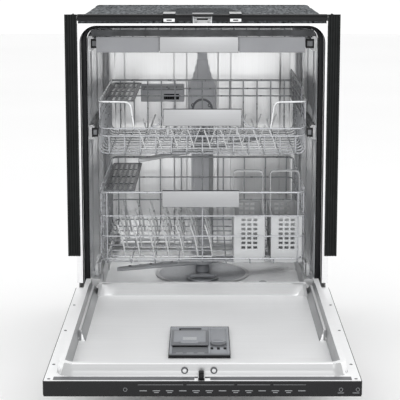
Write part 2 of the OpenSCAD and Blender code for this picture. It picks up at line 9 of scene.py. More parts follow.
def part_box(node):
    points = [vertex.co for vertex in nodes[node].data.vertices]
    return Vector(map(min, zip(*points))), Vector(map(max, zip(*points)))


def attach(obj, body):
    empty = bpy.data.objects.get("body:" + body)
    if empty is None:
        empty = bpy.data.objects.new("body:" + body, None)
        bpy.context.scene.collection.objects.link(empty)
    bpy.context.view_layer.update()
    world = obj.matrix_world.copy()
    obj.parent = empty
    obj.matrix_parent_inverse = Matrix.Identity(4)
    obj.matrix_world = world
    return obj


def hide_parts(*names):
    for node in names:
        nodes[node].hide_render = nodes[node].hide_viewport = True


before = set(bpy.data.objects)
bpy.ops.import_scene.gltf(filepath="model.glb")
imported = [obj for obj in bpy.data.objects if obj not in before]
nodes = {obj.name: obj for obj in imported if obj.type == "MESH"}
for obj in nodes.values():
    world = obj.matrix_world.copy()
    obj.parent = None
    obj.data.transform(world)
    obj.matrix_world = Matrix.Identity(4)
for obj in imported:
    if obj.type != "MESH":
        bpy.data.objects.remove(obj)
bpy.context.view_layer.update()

# Shapes are drawn in millimetres from the tub's door plane.
MM = 0.001
DOOR_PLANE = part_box("tub")[0].y - 6 * MM


def row(x, y, z):
    """A point given in millimetres from the door plane, in the row's frame in metres."""
    return Vector((x * MM, DOOR_PLANE + y * MM, z * MM))


def mm_box(node):
    """A CAD node's box in millimetres from the door plane."""
    lo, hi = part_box(node)
    shift = Vector((0, DOOR_PLANE, 0))
    return (lo - shift) / MM, (hi - shift) / MM


# ---------------------------------------------------------------- materials


class Shader:
    """A small helper that builds one procedural material."""

    def __init__(self, name, colour, roughness, metallic=0.0):
        self.material = bpy.data.materials.new(name)
        self.material.use_nodes = True
        self.tree = self.material.node_tree
        self.bsdf = self.tree.nodes["Principled BSDF"]
        self.bsdf.inputs["Base Color"].default_value = (*colour, 1)
        self.bsdf.inputs["Roughness"].default_value = roughness
        self.bsdf.inputs["Metallic"].default_value = metallic
        self.colour = colour
        self.roughness = roughness
        coordinates = self.node("ShaderNodeTexCoord")
        self.position = coordinates.outputs["Object"]

    def node(self, kind, **inputs):
        made = self.tree.nodes.new(kind)
        for key, value in inputs.items():
            made.inputs[key.replace("_", " ")].default_value = value
        return made

    def link(self, output, target):
        self.tree.links.new(output, target)

    def noise(self, scale, detail=3.0, stretch=(1, 1, 1)):
        mapping = self.node("ShaderNodeMapping", Scale=stretch)
        texture = self.node("ShaderNodeTexNoise", Scale=scale, Detail=detail)
        self.link(self.position, mapping.inputs["Vector"])
        self.link(mapping.outputs["Vector"], texture.inputs["Vector"])
        return texture.outputs["Fac"]

    def cells(self, scale, output="Distance", stretch=(1, 1, 1)):
        mapping = self.node("ShaderNodeMapping", Scale=stretch)
        texture = self.node("ShaderNodeTexVoronoi", Scale=scale)
        self.link(self.position, mapping.inputs["Vector"])
        self.link(mapping.outputs["Vector"], texture.inputs["Vector"])
        return texture.outputs[output]

    def spread(self, fac, low, high):
        """Maps a texture's 0.3 to 0.7 onto low to high."""
        ranged = self.node("ShaderNodeMapRange", From_Min=0.3, From_Max=0.7, To_Min=low, To_Max=high)
        self.link(fac, ranged.inputs["Value"])
        return ranged.outputs["Result"]

    def tint(self, fac, dark, light):
        """Colours the surface between two multiples of its base colour."""
        ramp = self.node("ShaderNodeValToRGB")
        ramp.color_ramp.elements[0].position = 0.3
        ramp.color_ramp.elements[1].position = 0.7
        ramp.color_ramp.elements[0].color = (*[min(1, c * dark) for c in self.colour], 1)
        ramp.color_ramp.elements[1].color = (*[min(1, c * light) for c in self.colour], 1)
        self.link(fac, ramp.inputs["Fac"])
        self.link(ramp.outputs["Color"], self.bsdf.inputs["Base Color"])
        return self

    def gloss(self, fac, low, high):
        self.link(self.spread(fac, low, high), self.bsdf.inputs["Roughness"])
        return self

    def bump(self, fac, strength, distance):
        node = self.node("ShaderNodeBump", Strength=strength, Distance=distance)
        self.link(fac, node.inputs["Height"])
        self.link(node.outputs["Normal"], self.bsdf.inputs["Normal"])
        return self


def brushed(name, colour, roughness, along, metallic=1.0):
    """Stainless sheet: fine streaks along one axis, in colour, gloss and relief."""
    shader = Shader(name, colour, roughness, metallic)
    stretch = tuple(4 if axis == along else 700 for axis in "XYZ")
    streaks = shader.noise(1.0, 2.0, stretch)
    shader.tint(streaks, 0.97, 1.03)
    shader.gloss(shader.noise(9.0, 3.0), roughness - 0.02, roughness + 0.04)
    return shader.bump(streaks, 0.015, 0.0001).material


def galvanised(name, colour, roughness):
    """Zinc-coated sheet with a faint crystal pattern."""
    shader = Shader(name, colour, roughness, 0.9)
    crystals = shader.cells(90.0, "Color")
    shader.tint(crystals, 0.86, 1.08)
    shader.gloss(shader.noise(60.0), roughness - 0.08, roughness + 0.1)
    return shader.bump(shader.noise(220.0), 0.08, 0.0003).material


def moulded(name, colour, roughness, grain=900.0, depth=0.15, specular=0.5):
    """Moulded plastic: a fine spark-eroded grain and slight cloudiness."""
    shader = Shader(name, colour, roughness)
    shader.bsdf.inputs["Specular IOR Level"].default_value = specular
    fine = shader.noise(grain, 2.0)
    shader.tint(shader.noise(18.0, 4.0), 0.93, 1.05)
    shader.gloss(fine, roughness - 0.07, roughness + 0.07)
    return shader.bump(fine, depth, 0.0002).material


def coated_wire(name, colour):
    """Nylon dip coating: smooth with slow thickness changes and a soft shine."""
    shader = Shader(name, colour, 0.32, 0.55)
    slow = shader.noise(70.0, 2.0)
    shader.tint(slow, 0.9, 1.08)
    shader.gloss(slow, 0.24, 0.4)
    return shader.bump(shader.noise(320.0), 0.12, 0.0003).material


def rubber(name, colour, roughness=0.62):
    shader = Shader(name, colour, roughness)
    shader.tint(shader.noise(35.0), 0.75, 1.5)
    shader.gloss(shader.noise(140.0), roughness - 0.1, roughness + 0.12)
    shader.bsdf.inputs["Specular IOR Level"].default_value = 0.22
    return shader.bump(shader.noise(700.0), 0.25, 0.0003).material


def felt(name, colour):
    """Pressed grey fibre pad with light and dark flecks."""
    shader = Shader(name, colour, 0.95)
    flecks = shader.noise(170.0, 5.0, (1, 0.35, 1))
    shader.tint(flecks, 0.05, 7.0)
    shader.bsdf.inputs["Specular IOR Level"].default_value = 0.15
    return shader.bump(shader.noise(300.0, 5.0), 0.9, 0.0015).material


def perforated(name, colour, roughness):
    """Smoky translucent plastic with a pebbled face."""
    shader = Shader(name, colour, roughness)
    pebbles = shader.cells(260.0)
    shader.tint(shader.noise(160.0, 4.0), 0.6, 1.6)
    shader.gloss(pebbles, roughness - 0.1, roughness + 0.12)
    return shader.bump(pebbles, 0.35, 0.0006).material


def etched_mesh(name, colour):
    """Micro-pierced filter sheet."""
    shader = Shader(name, colour, 0.34, 1.0)
    holes = shader.cells(420.0)
    ramp = shader.node("ShaderNodeValToRGB")
    ramp.color_ramp.elements[0].position = 0.22
    ramp.color_ramp.elements[1].position = 0.3
    ramp.color_ramp.elements[0].color = (0.03, 0.03, 0.03, 1)
    ramp.color_ramp.elements[1].color = (*colour, 1)
    shader.link(holes, ramp.inputs["Fac"])
    shader.link(ramp.outputs["Color"], shader.bsdf.inputs["Base Color"])
    return shader.bump(holes, 0.4, 0.0004).material


STEEL_Z = brushed("liner_steel_up", (0.95, 0.955, 0.96), 0.30, "Z")
DOOR_STEEL = brushed("door_steel", (0.90, 0.905, 0.91), 0.5, "X", 0.55)
FLANGE_STEEL = brushed("flange_steel", (0.86, 0.86, 0.865), 0.42, "X")
ZINC = galvanised("zinc_sheet", (0.46, 0.465, 0.47), 0.44)
BRIGHT_ZINC = galvanised("bright_zinc", (0.50, 0.505, 0.51), 0.36)
FELT = felt("sound_felt", (0.030, 0.032, 0.034))
DARK_FELT = felt("dark_felt", (0.012, 0.013, 0.014))
GASKET = rubber("gasket_rubber", (0.006, 0.006, 0.007), 0.5)
LIP = rubber("gasket_lip", (0.055, 0.057, 0.06), 0.45)
TRIM = rubber("trim_rubber", (0.006, 0.007, 0.007), 0.55)
BLACK = moulded("black_plastic", (0.008, 0.008, 0.009), 0.45, specular=0.25)
BLACK_GLOSS = moulded("control_gloss", (0.006, 0.006, 0.007), 0.25, 300.0, 0.03, 0.3)
OUTER = moulded("outer_paint", (0.022, 0.022, 0.025), 0.35, 500.0, 0.1)
GREY = moulded("grey_plastic", (0.27, 0.28, 0.30), 0.42)
MID_GREY = moulded("mid_grey_plastic", (0.15, 0.155, 0.165), 0.4)
DUCT = moulded("duct_plastic", (0.80, 0.81, 0.84), 0.45)
VENT = moulded("vent_plastic", (0.74, 0.75, 0.78), 0.45)
# The rim's front face and the rear sill face are the liner's own steel, coloured darker: painted shade.
SHADED_RIM_STEEL = brushed("rim_front_steel_painted_shade", (0.52, 0.525, 0.53), 0.30, "X")
# The pan's side walls are the liner's own steel, coloured darker: painted shade.
SHADED_WALL_STEEL = brushed("door_wall_steel_painted_shade", (0.42, 0.425, 0.43), 0.34, "Y")
PRONG = coated_wire("prong_coating", (0.78, 0.79, 0.80))
ARM = moulded("spray_arm_plastic", (0.42, 0.43, 0.45), 0.36)
WING = moulded("wing_plastic", (0.27, 0.275, 0.29), 0.4)
LIGHT = moulded("light_plastic", (0.46, 0.47, 0.48), 0.4)
BASKET = moulded("basket_plastic", (0.60, 0.61, 0.62), 0.42)
DARK = moulded("dark_plastic", (0.085, 0.088, 0.095), 0.42)
DEEP = moulded("deep_shadow_plastic", (0.008, 0.008, 0.009), 0.6, specular=0.2)
WHITE = moulded("white_plastic", (0.80, 0.81, 0.82), 0.35)
SMOKY = perforated("smoky_plastic", (0.17, 0.175, 0.185), 0.35)
SMOKY_LIGHT = perforated("smoky_light_plastic", (0.20, 0.205, 0.22), 0.35)
WIRE = coated_wire("rack_coating", (0.48, 0.49, 0.51))
HANDLE = brushed("handle_satin", (0.47, 0.475, 0.485), 0.42, "X")
MESH = etched_mesh("filter_mesh", (0.55, 0.56, 0.58))
LEGEND = moulded("legend_print", (0.32, 0.33, 0.34), 0.5)

# ---------------------------------------------------------------- mesh building

SHARP = math.radians(38)


class Builder:
    """Collects shapes, drawn in millimetres from the door plane, into one mesh piece."""

    def __init__(self):
        self.bm = bmesh.new()
        self.materials = []

    def _index(self, material):
        if material not in self.materials:
            self.materials.append(material)
        return self.materials.index(material)

    def _paint(self, faces, material):
        index = self._index(material)
        for face in faces:
            face.material_index = index

    def box(self, lo, hi, material, round_mm=1.0, segments=2):
        """A box with rounded edges."""
        before = set(self.bm.faces)
        made = bmesh.ops.create_cube(self.bm, size=1.0)["verts"]
        size = [b - a for a, b in zip(lo, hi)]
        centre = [(a + b) / 2 for a, b in zip(lo, hi)]
        bmesh.ops.scale(self.bm, vec=size, verts=made)
        bmesh.ops.translate(self.bm, vec=centre, verts=made)
        edges = list({e for v in made for e in v.link_edges})
        width = min(round_mm, min(size) * 0.45)
        bmesh.ops.bevel(self.bm, geom=edges, offset=width, segments=segments, profile=0.5, affect="EDGES")
        self._paint(set(self.bm.faces) - before, material)
        return self

    def prism(self, outline, axis, start, end, material, round_mm=0.0):
        """An outline extruded along an axis. Its two coordinates are the other axes, in X, Y, Z order."""
        before = set(self.bm.faces)
        place = {
            "X": lambda p, t: (t, p[0], p[1]),
            "Y": lambda p, t: (p[0], t, p[1]),
            "Z": lambda p, t: (p[0], p[1], t),
        }[axis]
        rings = [[self.bm.verts.new(place(p, t)) for p in outline] for t in (start, end)]
        self.bm.faces.new(rings[0])
        self.bm.faces.new(rings[1][::-1])
        self._bridge(rings[0], rings[1], True)
        faces = set(self.bm.faces) - before
        if round_mm:
            caps = [e for e in {e for f in faces for e in f.edges} if self._is_rim(e, axis, start, end)]
            bmesh.ops.bevel(self.bm, geom=caps, offset=round_mm, segments=2, profile=0.5, affect="EDGES")
        self._paint(set(self.bm.faces) - before, material)
        return self

    @staticmethod
    def _is_rim(edge, axis, start, end):
        i = "XYZ".index(axis)
        a, b = edge.verts[0].co[i], edge.verts[1].co[i]
        return abs(a - b) < 1e-6 and min(abs(a - start), abs(a - end)) < 1e-6

    def _bridge(self, a, b, closed):
        count = len(a)
        for i in range(count if closed else count - 1):
            j = (i + 1) % count
            self.bm.faces.new((a[i], a[j], b[j], b[i]))

    def lathe(self, base, axis, profile, material, sides=32, closed=True):
        """Turns (radius, height) pairs about an axis through base."""
        before = set(self.bm.faces)
        direction = Vector(axis).normalized()
        u = direction.orthogonal().normalized()
        v = direction.cross(u)
        rings = []
        for radius, height in profile:
            ring = []
            for k in range(sides):
                angle = math.tau * k / sides
                offset = (u * math.cos(angle) + v * math.sin(angle)) * max(radius, 0.001)
                ring.append(self.bm.verts.new(Vector(base) + direction * height + offset))
            rings.append(ring)
        for a, b in zip(rings, rings[1:]):
            self._bridge(a, b, True)
        if closed:
            self.bm.faces.new(rings[0])
            self.bm.faces.new(rings[-1][::-1])
        self._paint(set(self.bm.faces) - before, material)
        return self

    def tube(self, points, radius, material, sides=8, closed=False):
        """A round bar along a path."""
        before = set(self.bm.faces)
        path = [Vector(p) for p in points]
        count = len(path)
        rings = []
        normal = None
        for i, point in enumerate(path):
            if closed:
                ahead, behind = path[(i + 1) % count], path[i - 1]
            else:
                ahead, behind = path[min(i + 1, count - 1)], path[max(i - 1, 0)]
            tangent = (ahead - behind).normalized()
            if normal is None:
                normal = tangent.orthogonal().normalized()
            normal = (normal - tangent * normal.dot(tangent)).normalized()
            side = tangent.cross(normal)
            ring = []
            for k in range(sides):
                angle = math.tau * k / sides
                ring.append(self.bm.verts.new(point
                                              + (normal * math.cos(angle) + side * math.sin(angle)) * radius))
            rings.append(ring)
        for a, b in zip(rings, rings[1:]):
            self._bridge(a, b, True)
        if closed:
            self._bridge(rings[-1], rings[0], True)
        else:
            self.bm.faces.new(rings[0])
            self.bm.faces.new(rings[-1][::-1])
        self._paint(set(self.bm.faces) - before, material)
        return self

    def grid(self, points, material, closed_rows=False):
        """A sheet through rows of points."""
        before = set(self.bm.faces)
        rows = [[self.bm.verts.new(p) for p in line] for line in points]
        for a, b in zip(rows, rows[1:]):
            self._bridge(a, b, closed_rows)
        self._paint(set(self.bm.faces) - before, material)
        return self

    def finish(self, name, body, replaces=()):
        """Makes the piece, in the row's frame, riding on its body."""
        bmesh.ops.recalc_face_normals(self.bm, faces=self.bm.faces)
        for edge in self.bm.edges:
            if len(edge.link_faces) == 2 and edge.calc_face_angle(0.0) > SHARP:
                edge.smooth = False
        for face in self.bm.faces:
            face.smooth = True
        mesh = bpy.data.meshes.new(name)
        self.bm.transform(Matrix.Translation((0, DOOR_PLANE, 0)) @ Matrix.Scale(MM, 4))
        self.bm.to_mesh(mesh)
        self.bm.free()
        piece = bpy.data.objects.new(name, mesh)
        bpy.context.scene.collection.objects.link(piece)
        for material in self.materials:
            mesh.materials.append(material)
        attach(piece, body)
        if replaces:
            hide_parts(*replaces)
        return piece


def smoothstep(edge0, edge1, x):
    t = min(1.0, max(0.0, (x - edge0) / (edge1 - edge0)))
    return t * t * (3 - 2 * t)


def arc(cx, cy, radius, start, end, steps=8):
    """Points on an arc, in degrees."""
    angles = [math.radians(start + (end - start) * i / steps) for i in range(steps + 1)]
    return [(cx + radius * math.cos(a), cy + radius * math.sin(a)) for a in angles]


def rounded(points, radius, steps=5, closed=False):
    """Rounds the corners of a 3-D path."""
    path = [Vector(p) for p in points]
    count = len(path)
    out = []
    for i, corner in enumerate(path):
        if not closed and i in (0, count - 1):
            out.append(corner)
            continue
        before, after = path[i - 1], path[(i + 1) % count]
        reach = min(radius, (before - corner).length * 0.49, (after - corner).length * 0.49)
        a = corner + (before - corner).normalized() * reach
        b = corner + (after - corner).normalized() * reach
        for k in range(steps + 1):
            t = k / steps
            out.append(a * (1 - t) ** 2 + corner * 2 * t * (1 - t) + b * t * t)
    return out


def spaced(start, end, count):
    return [start + (end - start) * i / (count - 1) for i in range(count)]


def lines_at(breaks):
    """Grid lines from (value, step) pairs: each stretch up to the next value is cut at about that step."""
    out = []
    for (a, step), (b, _) in zip(breaks, breaks[1:]):
        parts = max(1, round((b - a) / step))
        out += [a + (b - a) * i / parts for i in range(parts)]
    return out + [breaks[-1][0]]


def rounded_box_distance(x, y, x0, x1, y0, y1, radius):
    """Signed distance to a rectangle with round corners, negative inside."""
    dx = abs(x - (x0 + x1) / 2) - (x1 - x0) / 2 + radius
    dy = abs(y - (y0 + y1) / 2) - (y1 - y0) / 2 + radius
    outside = math.hypot(max(dx, 0), max(dy, 0))
    return outside + min(max(dx, dy), 0) - radius


# ---------------------------------------------------------------- cabinet

FLANGE_Y = 6
MOUTH_HALF = 286
MOUTH_TOP = 831
MOUTH_LOW = 176
CORNER = 40
HALF = 270
TOP = 824
FLOOR = 172
LEDGE = 215
WELL = 246
BACK = 559.5


def mouth_outline(half, low, top, radius, well, ledge):
    """Half of a cross-section of the wash space from the middle of its floor to the middle of its top."""
    right = [(0, low), (well * 0.5, low), (well - 6, low), (well - 1.5, low + 2), (well, low + 7)]
    right += [(well, ledge - 3), (well + 2, ledge), (half - 4, ledge + 0.5), (half, ledge + 5)]
    right += [(half, low + (top - low) * 0.45), *arc(half - radius, top - radius, radius, 0, 90), (0, top)]
    left = [(-x, z) for x, z in reversed(right[1:-1])]
    return right + left


def tub():
    """The pressed tub: flange, stepped mouth, wash space with creased walls, and rear wall."""
    b = Builder()
    plain = mouth_outline(MOUTH_HALF, MOUTH_LOW, MOUTH_TOP, CORNER, MOUTH_HALF - 4.2, MOUTH_LOW + 4)
    lip = mouth_outline(HALF + 1, 190, TOP + 1, 30, HALF - 8, 194)
    inner = mouth_outline(HALF, FLOOR, TOP, 30, WELL, LEDGE)
    stations = [(10, plain), (40, plain), (42, lip), (44, lip), (46, inner)]
    creases = (120, 300, 480)
    for y in creases:
        stations += [(y - 9, inner), (y - 4, inner), (y, "crease"), (y + 4, inner), (y + 9, inner)]
    stations.append((BACK - 30, inner))
    for angle in (20, 40, 60, 80, 90):
        fold = 30 * (1 - math.cos(math.radians(angle)))
        depth = BACK - 30 + 30 * math.sin(math.radians(angle))
        stations.append((depth, ("fold", fold)))
    rows = []
    for y, outline in stations:
        if outline == "crease":
            ring = [(x * (HALF - 2.5) / HALF, z) for x, z in inner]
        elif isinstance(outline, tuple) and outline[0] == "fold":
            shrink = outline[1]
            ring = [(x * (HALF - shrink) / HALF,
                     z + (shrink * 0.6 if z < LEDGE - 4 else 0) - (shrink if z > TOP - 40 else 0))
                    for x, z in inner]
        else:
            ring = outline
        rows.append([(x, y, z) for x, z in ring])
    b.grid(rows, STEEL_Z, closed_rows=True)
    # The flange round the mouth, open at the bottom.
    low = 216
    inner_edge = [(-MOUTH_HALF, low), *[(-x, z) for x,
                                        z in arc(MOUTH_HALF - CORNER, MOUTH_TOP - CORNER, CORNER, 0, 90)],
                  *arc(MOUTH_HALF - CORNER, MOUTH_TOP - CORNER, CORNER, 90, 0), (MOUTH_HALF, low)]
    outer_edge = []
    for x, z in inner_edge:
        if z <= low:
            outer_edge.append((math.copysign(300, x), z))
        else:
            side = abs(x) / MOUTH_HALF
            climb = (z - (MOUTH_TOP - CORNER)) / CORNER
            outer_edge.append((math.copysign(300, x),
                               MOUTH_TOP - CORNER + climb * 45) if side > 0.99 - climb * 0.14
                              else (x, 841.5))
    b.grid([[(x, FLANGE_Y, z) for x, z in inner_edge], [(x, FLANGE_Y, z) for x, z in outer_edge]],
           FLANGE_STEEL)
    b.grid([[(x, FLANGE_Y, z) for x, z in inner_edge], [(x, 10, z) for x, z in inner_edge]], FLANGE_STEEL)
    # The rear wall, with pressed vertical steps.
    steps = [(-214, 2.4), (-78, -3.0), (-43, 3.0), (43, -3.0), (78, 3.0), (214, -2.4)]
    xs = sorted({-239.0, 239.0, *[x + d for x, _ in steps for d in (-3.0, -1.2, 0.0, 1.2, 3.0)],
                 *spaced(-239, 239, 13)})
    zs = lines_at([(FLOOR + 14, 60), (TOP - 29, 60)])
    wall = []
    for z in zs:
        line = []
        for x in xs:
            depth = BACK - 4.0
            for at, rise in steps:
                depth -= rise * smoothstep(at - 1.8, at + 1.8, x) * 0.55
            line.append((x, depth + 1.0, z))
        wall.append(line)
    b.grid(wall, STEEL_Z)
    b.box((-242, BACK - 1, FLOOR + 2), (242, BACK + 1.8, TOP - 20), STEEL_Z, 0.3)
    return b.finish("tub_shell", "cabinet", ("tub",))


def gasket():
    """The door seal: a bulb with two lips, bent round the mouth."""
    b = Builder()
    radius = 34
    z_low = 192
    section = [(0, 0), (2.0, -5.5), (6.5, -8.0), (11.0, -6.0), (12.5, -1.5), (14.5, 0.5), (14.0, 3.0),
               (0.5, 3.0)]
    rows = []
    for inset, y in section:
        half = MOUTH_HALF - 0.6 - inset
        top = MOUTH_TOP - 0.6 - inset * 0.5
        bend = max(4.0, radius + 5 - inset)
        right = [(half, z_low), *arc(half - bend, top - bend, bend, 0, 90, 10)]
        left = [(-x, z) for x, z in reversed(right)]
        rows.append([(x, 38.5 + y, z) for x, z in right + left])
    rows.append(rows[0])
    b.grid(rows, GASKET)
    lip = [(41.0, 819), (41.6, 806), (42.6, 803.8), (43.0, 806), (42.8, 819)]
    b.prism(lip, "X", -262, 262, LIP)
    return b.finish("door_gasket_bulb", "cabinet", ("door_gasket",))


def side_trim(side, name):
    """A rubber strip with rounded ribs along its face and a leg along the cabinet's side."""
    b = Builder()
    lo, hi = mm_box(name)
    inner, outer = 291.0, 320.0
    ribs = 5
    face = []
    for i in range(ribs):
        for k in range(6):
            t = (i + k / 6) / ribs
            face.append((inner + (outer - inner) * t, 1.0 + 1.7 * (1 - abs(math.sin(math.pi * k / 6)))))
    face.append((outer, 2.2))
    outline = face + [(outer, 6), (304, 6), (304, 40), (300.6, 40), (300.6, 5.9), (inner, 5.9)]
    b.prism([(side * x, y) for x, y in outline], "Z", lo.z, hi.z, TRIM)
    return b.finish(name + "_ribbed", "cabinet", (name,))


def top_trim():
    """Black capping strip along the top front edge, notched for the door strike."""
    b = Builder()
    lo, hi = mm_box("top_trim")
    for x0, x1 in ((lo.x, -24.2), (24.2, hi.x)):
        b.box((x0, 1.6, lo.z), (x1, 7.5, hi.z - 6), BLACK, 1.0)
    b.box((lo.x, 1.6, hi.z - 4), (hi.x, 20, hi.z), BLACK, 1.2)
    for x0, x1 in ((lo.x, -24.2), (24.2, hi.x)):
        b.box((x0, 4.0, hi.z - 7), (x1, 20, hi.z - 3.5), BLACK, 0.5)
    return b.finish("top_trim_strip", "cabinet", ("top_trim",))


def counter_brackets():
    """Bent tabs with a screw hole, a slot and a stiffening bead."""
    b = Builder()
    lo, hi = mm_box("counter_brackets")
    for x in (-77, 77):
        b.box((x - 14, 0.6, lo.z + 7), (x + 14, 1.45, hi.z - 1), DEEP, 0.4)
        b.box((x - 13, 0.45, lo.z), (x + 13, 1.45, lo.z + 7.5), WHITE, 0.4)
        b.box((x - 6, 0.35, lo.z + 2.5), (x + 6, 0.9, lo.z + 5.5), DEEP, 0.2)
        b.box((x - 14, 0.6, hi.z - 2), (x + 14, 22, hi.z), ZINC, 0.6)
        b.box((x - 14, 38, hi.z - 2), (x + 14, 60, hi.z), BRIGHT_ZINC, 0.6)
        for s in (-1, 1):
            b.box((x + s * 9.5 - 4.5, 20, hi.z - 2), (x + s * 9.5 + 4.5, 40, hi.z), BRIGHT_ZINC, 0.5)
        b.lathe((x, 30, hi.z - 2), (0, 0, 1), [(2.6, 0), (5.6, 0), (5.6, 2.0), (2.6, 2.0), (2.6, 0)],
                BRIGHT_ZINC,
                closed=False)
    return b.finish("counter_bracket_tabs", "cabinet", ("counter_brackets",))


def door_strike():
    """The keeper that the door's hook catches: a plate with cheeks, a pin and two rivets."""
    b = Builder()
    lo, hi = mm_box("door_strike")
    b.box((lo.x, 21, lo.z), (hi.x, 23, hi.z), WHITE, 0.5)
    for s in (-1, 1):
        b.box((s * 21 - 1, 8, lo.z), (s * 21 + 1, 21.5, hi.z), WHITE, 0.5)
        b.lathe((s * 14, 21.2, lo.z + 5), (0, -1, 0), [(2.6, 0), (2.4, 0.8), (1.2, 1.3), (0.1, 1.4)],
                BRIGHT_ZINC, 16)
    b.tube([(-20, 14, 849.5), (20, 14, 849.5)], 2.5, ZINC, 14)
    b.box((-13, 19.5, lo.z + 9), (13, 21.2, lo.z + 13), DEEP, 0.4)
    return b.finish("door_strike_keeper", "cabinet", ("door_strike",))


def sound_blanket():
    """Flecked fibre pad over the tub's top and down its sides, uneven as felt is."""
    b = Builder()
    lo, hi = mm_box("sound_blanket")
    ys = lines_at([(lo.y, 9), (hi.y, 9)])
    half, low, top = hi.x, lo.z, hi.z
    section = [(half, low + t * (top - 18 - low)) for t in spaced(0, 1, 18)]
    section += arc(half - 14, top - 14, 14, 0, 90, 4)[1:]
    section += [(x, top) for x in spaced(half - 24, 24 - half, 56)]
    section += [(-x, z) for x, z in reversed(section[:22])]
    rows = []
    for y in ys:
        line = []
        for x, z in section:
            wobble = noise.noise(Vector((x, y, z)) * 0.02) * 1.6 + noise.noise(Vector((x, y,
                                                                                       z)) * 0.09) * 0.8 - 2.4
            sideways = abs(x) > half - 4
            line.append((x + (math.copysign(wobble, x) if sideways else 0), y,
                         z + (0 if sideways else wobble)))
        rows.append(line)
    b.grid(rows, FELT)
    for y in (lo.y, hi.y):
        b.grid([[(x, y, z) for x, z in section], [(x * 0.95, y, max(low, z - 22)) for x, z in section]], FELT)
    patch = [(-118, 50), (118, 50), (62, 330), (-62, 330)]
    b.prism(patch, "Z", hi.z - 3.0, hi.z + 0.4, DARK_FELT, 0.5)
    b.box((-24, 96, hi.z - 1.0), (26, 122, hi.z + 0.8), LIGHT, 0.3)
    return b.finish("sound_blanket_pad", "cabinet", ("sound_blanket",))


def feed_duct():
    """Rear water duct: a stepped rocket-shaped moulding with an arch, two dark ports and a docking stub."""
    b = Builder()
    half = [(9.6, 800), (9.6, 740), (8, 738), (8, 722), (13, 718), (13, 704), (15, 700), (15, 690),
            (20, 680), (20, 670),
            (25, 662), (25, 655), (33, 640), (37.6, 618), (37.6, 560), (36, 548), (30, 532), (30, 178)]
    outline = half + [(-x, z) for x, z in reversed(half)]
    b.prism(outline, "Y", 546.6, BACK, DUCT, 2.5)
    for z0, z1, width in ((622, 700, 14), (560, 616, 31)):
        b.box((-width, 545.0, z0), (width, 548.5, z1), DUCT, 1.6)
    for z, width in ((655, 18), (700, 13), (722, 13)):
        b.box((-width, 544.6, z - 1.5), (width, 548, z + 1.5), DUCT, 0.8)
    arch = [(26 * math.cos(math.radians(a)), 545.2, 566 + 26 * math.sin(math.radians(a))) for a in range(0,
                                                                                                         181, 12)]
    b.tube(arch, 3.2, GREY, 10)
    for x in (-26, 20):
        b.lathe((x, 545.4, 576), (0, -1, 0), [(5.2, 0), (5.0, 1.2), (3.6, 1.4), (3.2, -0.4)], DEEP, 20)
    b.box((-30, 544.8, 178), (-22, 548, 530), DUCT, 1.2)
    b.box((18, 544.8, 178), (30, 548, 530), LIGHT, 1.2)
    b.lathe((0, 546, 511), (0, -1, 0), [(15, 0), (14, 6), (13, 7), (12.6, 21), (11, 22), (9, 22), (9, 8)],
            DUCT, 28)
    return b.finish("feed_duct_moulding", "cabinet", ("feed_duct",))


def vent_cover():
    """Rear vent: a bezel with a pale window, a black louvre and a pale label field."""
    b = Builder()
    lo, hi = mm_box("vent_cover")
    b.box((lo.x, lo.y + 1, lo.z), (hi.x, BACK, hi.z), VENT, 2.5, 3)
    b.box((lo.x + 4, lo.y, hi.z - 17), (hi.x - 4, lo.y + 3, hi.z - 4), LIGHT, 1.2)
    b.box((lo.x + 5, lo.y - 0.2, lo.z + 7), (lo.x + 60, lo.y + 2.6, lo.z + 21), WHITE, 0.8)
    b.box((lo.x + 63, lo.y + 0.6, lo.z + 6), (hi.x - 14, lo.y + 2.6, lo.z + 22), DEEP, 0.8)
    for i in range(6):
        x = lo.x + 66 + i * 6.2
        b.box((x, lo.y + 0.1, lo.z + 8), (x + 1.5, lo.y + 2.2, lo.z + 20), DARK, 0.4)
    for x in (lo.x + 12, lo.x + 72, hi.x - 22):
        b.lathe((x, lo.y + 0.4, hi.z - 10), (0, -1, 0), [(3.4, 0), (3.0, 0.5), (1.4, 0.5), (1.2, 0.1)],
                DARK, 16)
    return b.finish("vent_cover_bezel", "cabinet", ("vent_cover",))


def ceiling_nozzle():
    """Ceiling spray head with a ring of jets on its supply pipe."""
    b = Builder()
    b.lathe((0, 300, 824), (0, 0, -1), [(42, 0), (42, 4), (39, 9), (30, 12), (12, 14.5), (0.1, 15)], GREY, 40)
    for k in range(8):
        a = math.tau * k / 8
        b.lathe((26 * math.cos(a), 300 + 26 * math.sin(a), 812.5), (0, 0, -1),
                [(3, 0), (2.4, 1.6), (1.2, 1.8)], LIGHT, 12)
    b.tube([(0, 335, 818.5), (0, 552, 818.5)], 5.4, GREY, 16)
    for y in (380, 500):
        b.box((-9, y - 5, 813), (9, y + 5, 824), GREY, 1.5)
    return b.finish("ceiling_spray_head", "cabinet", ("ceiling_nozzle",))


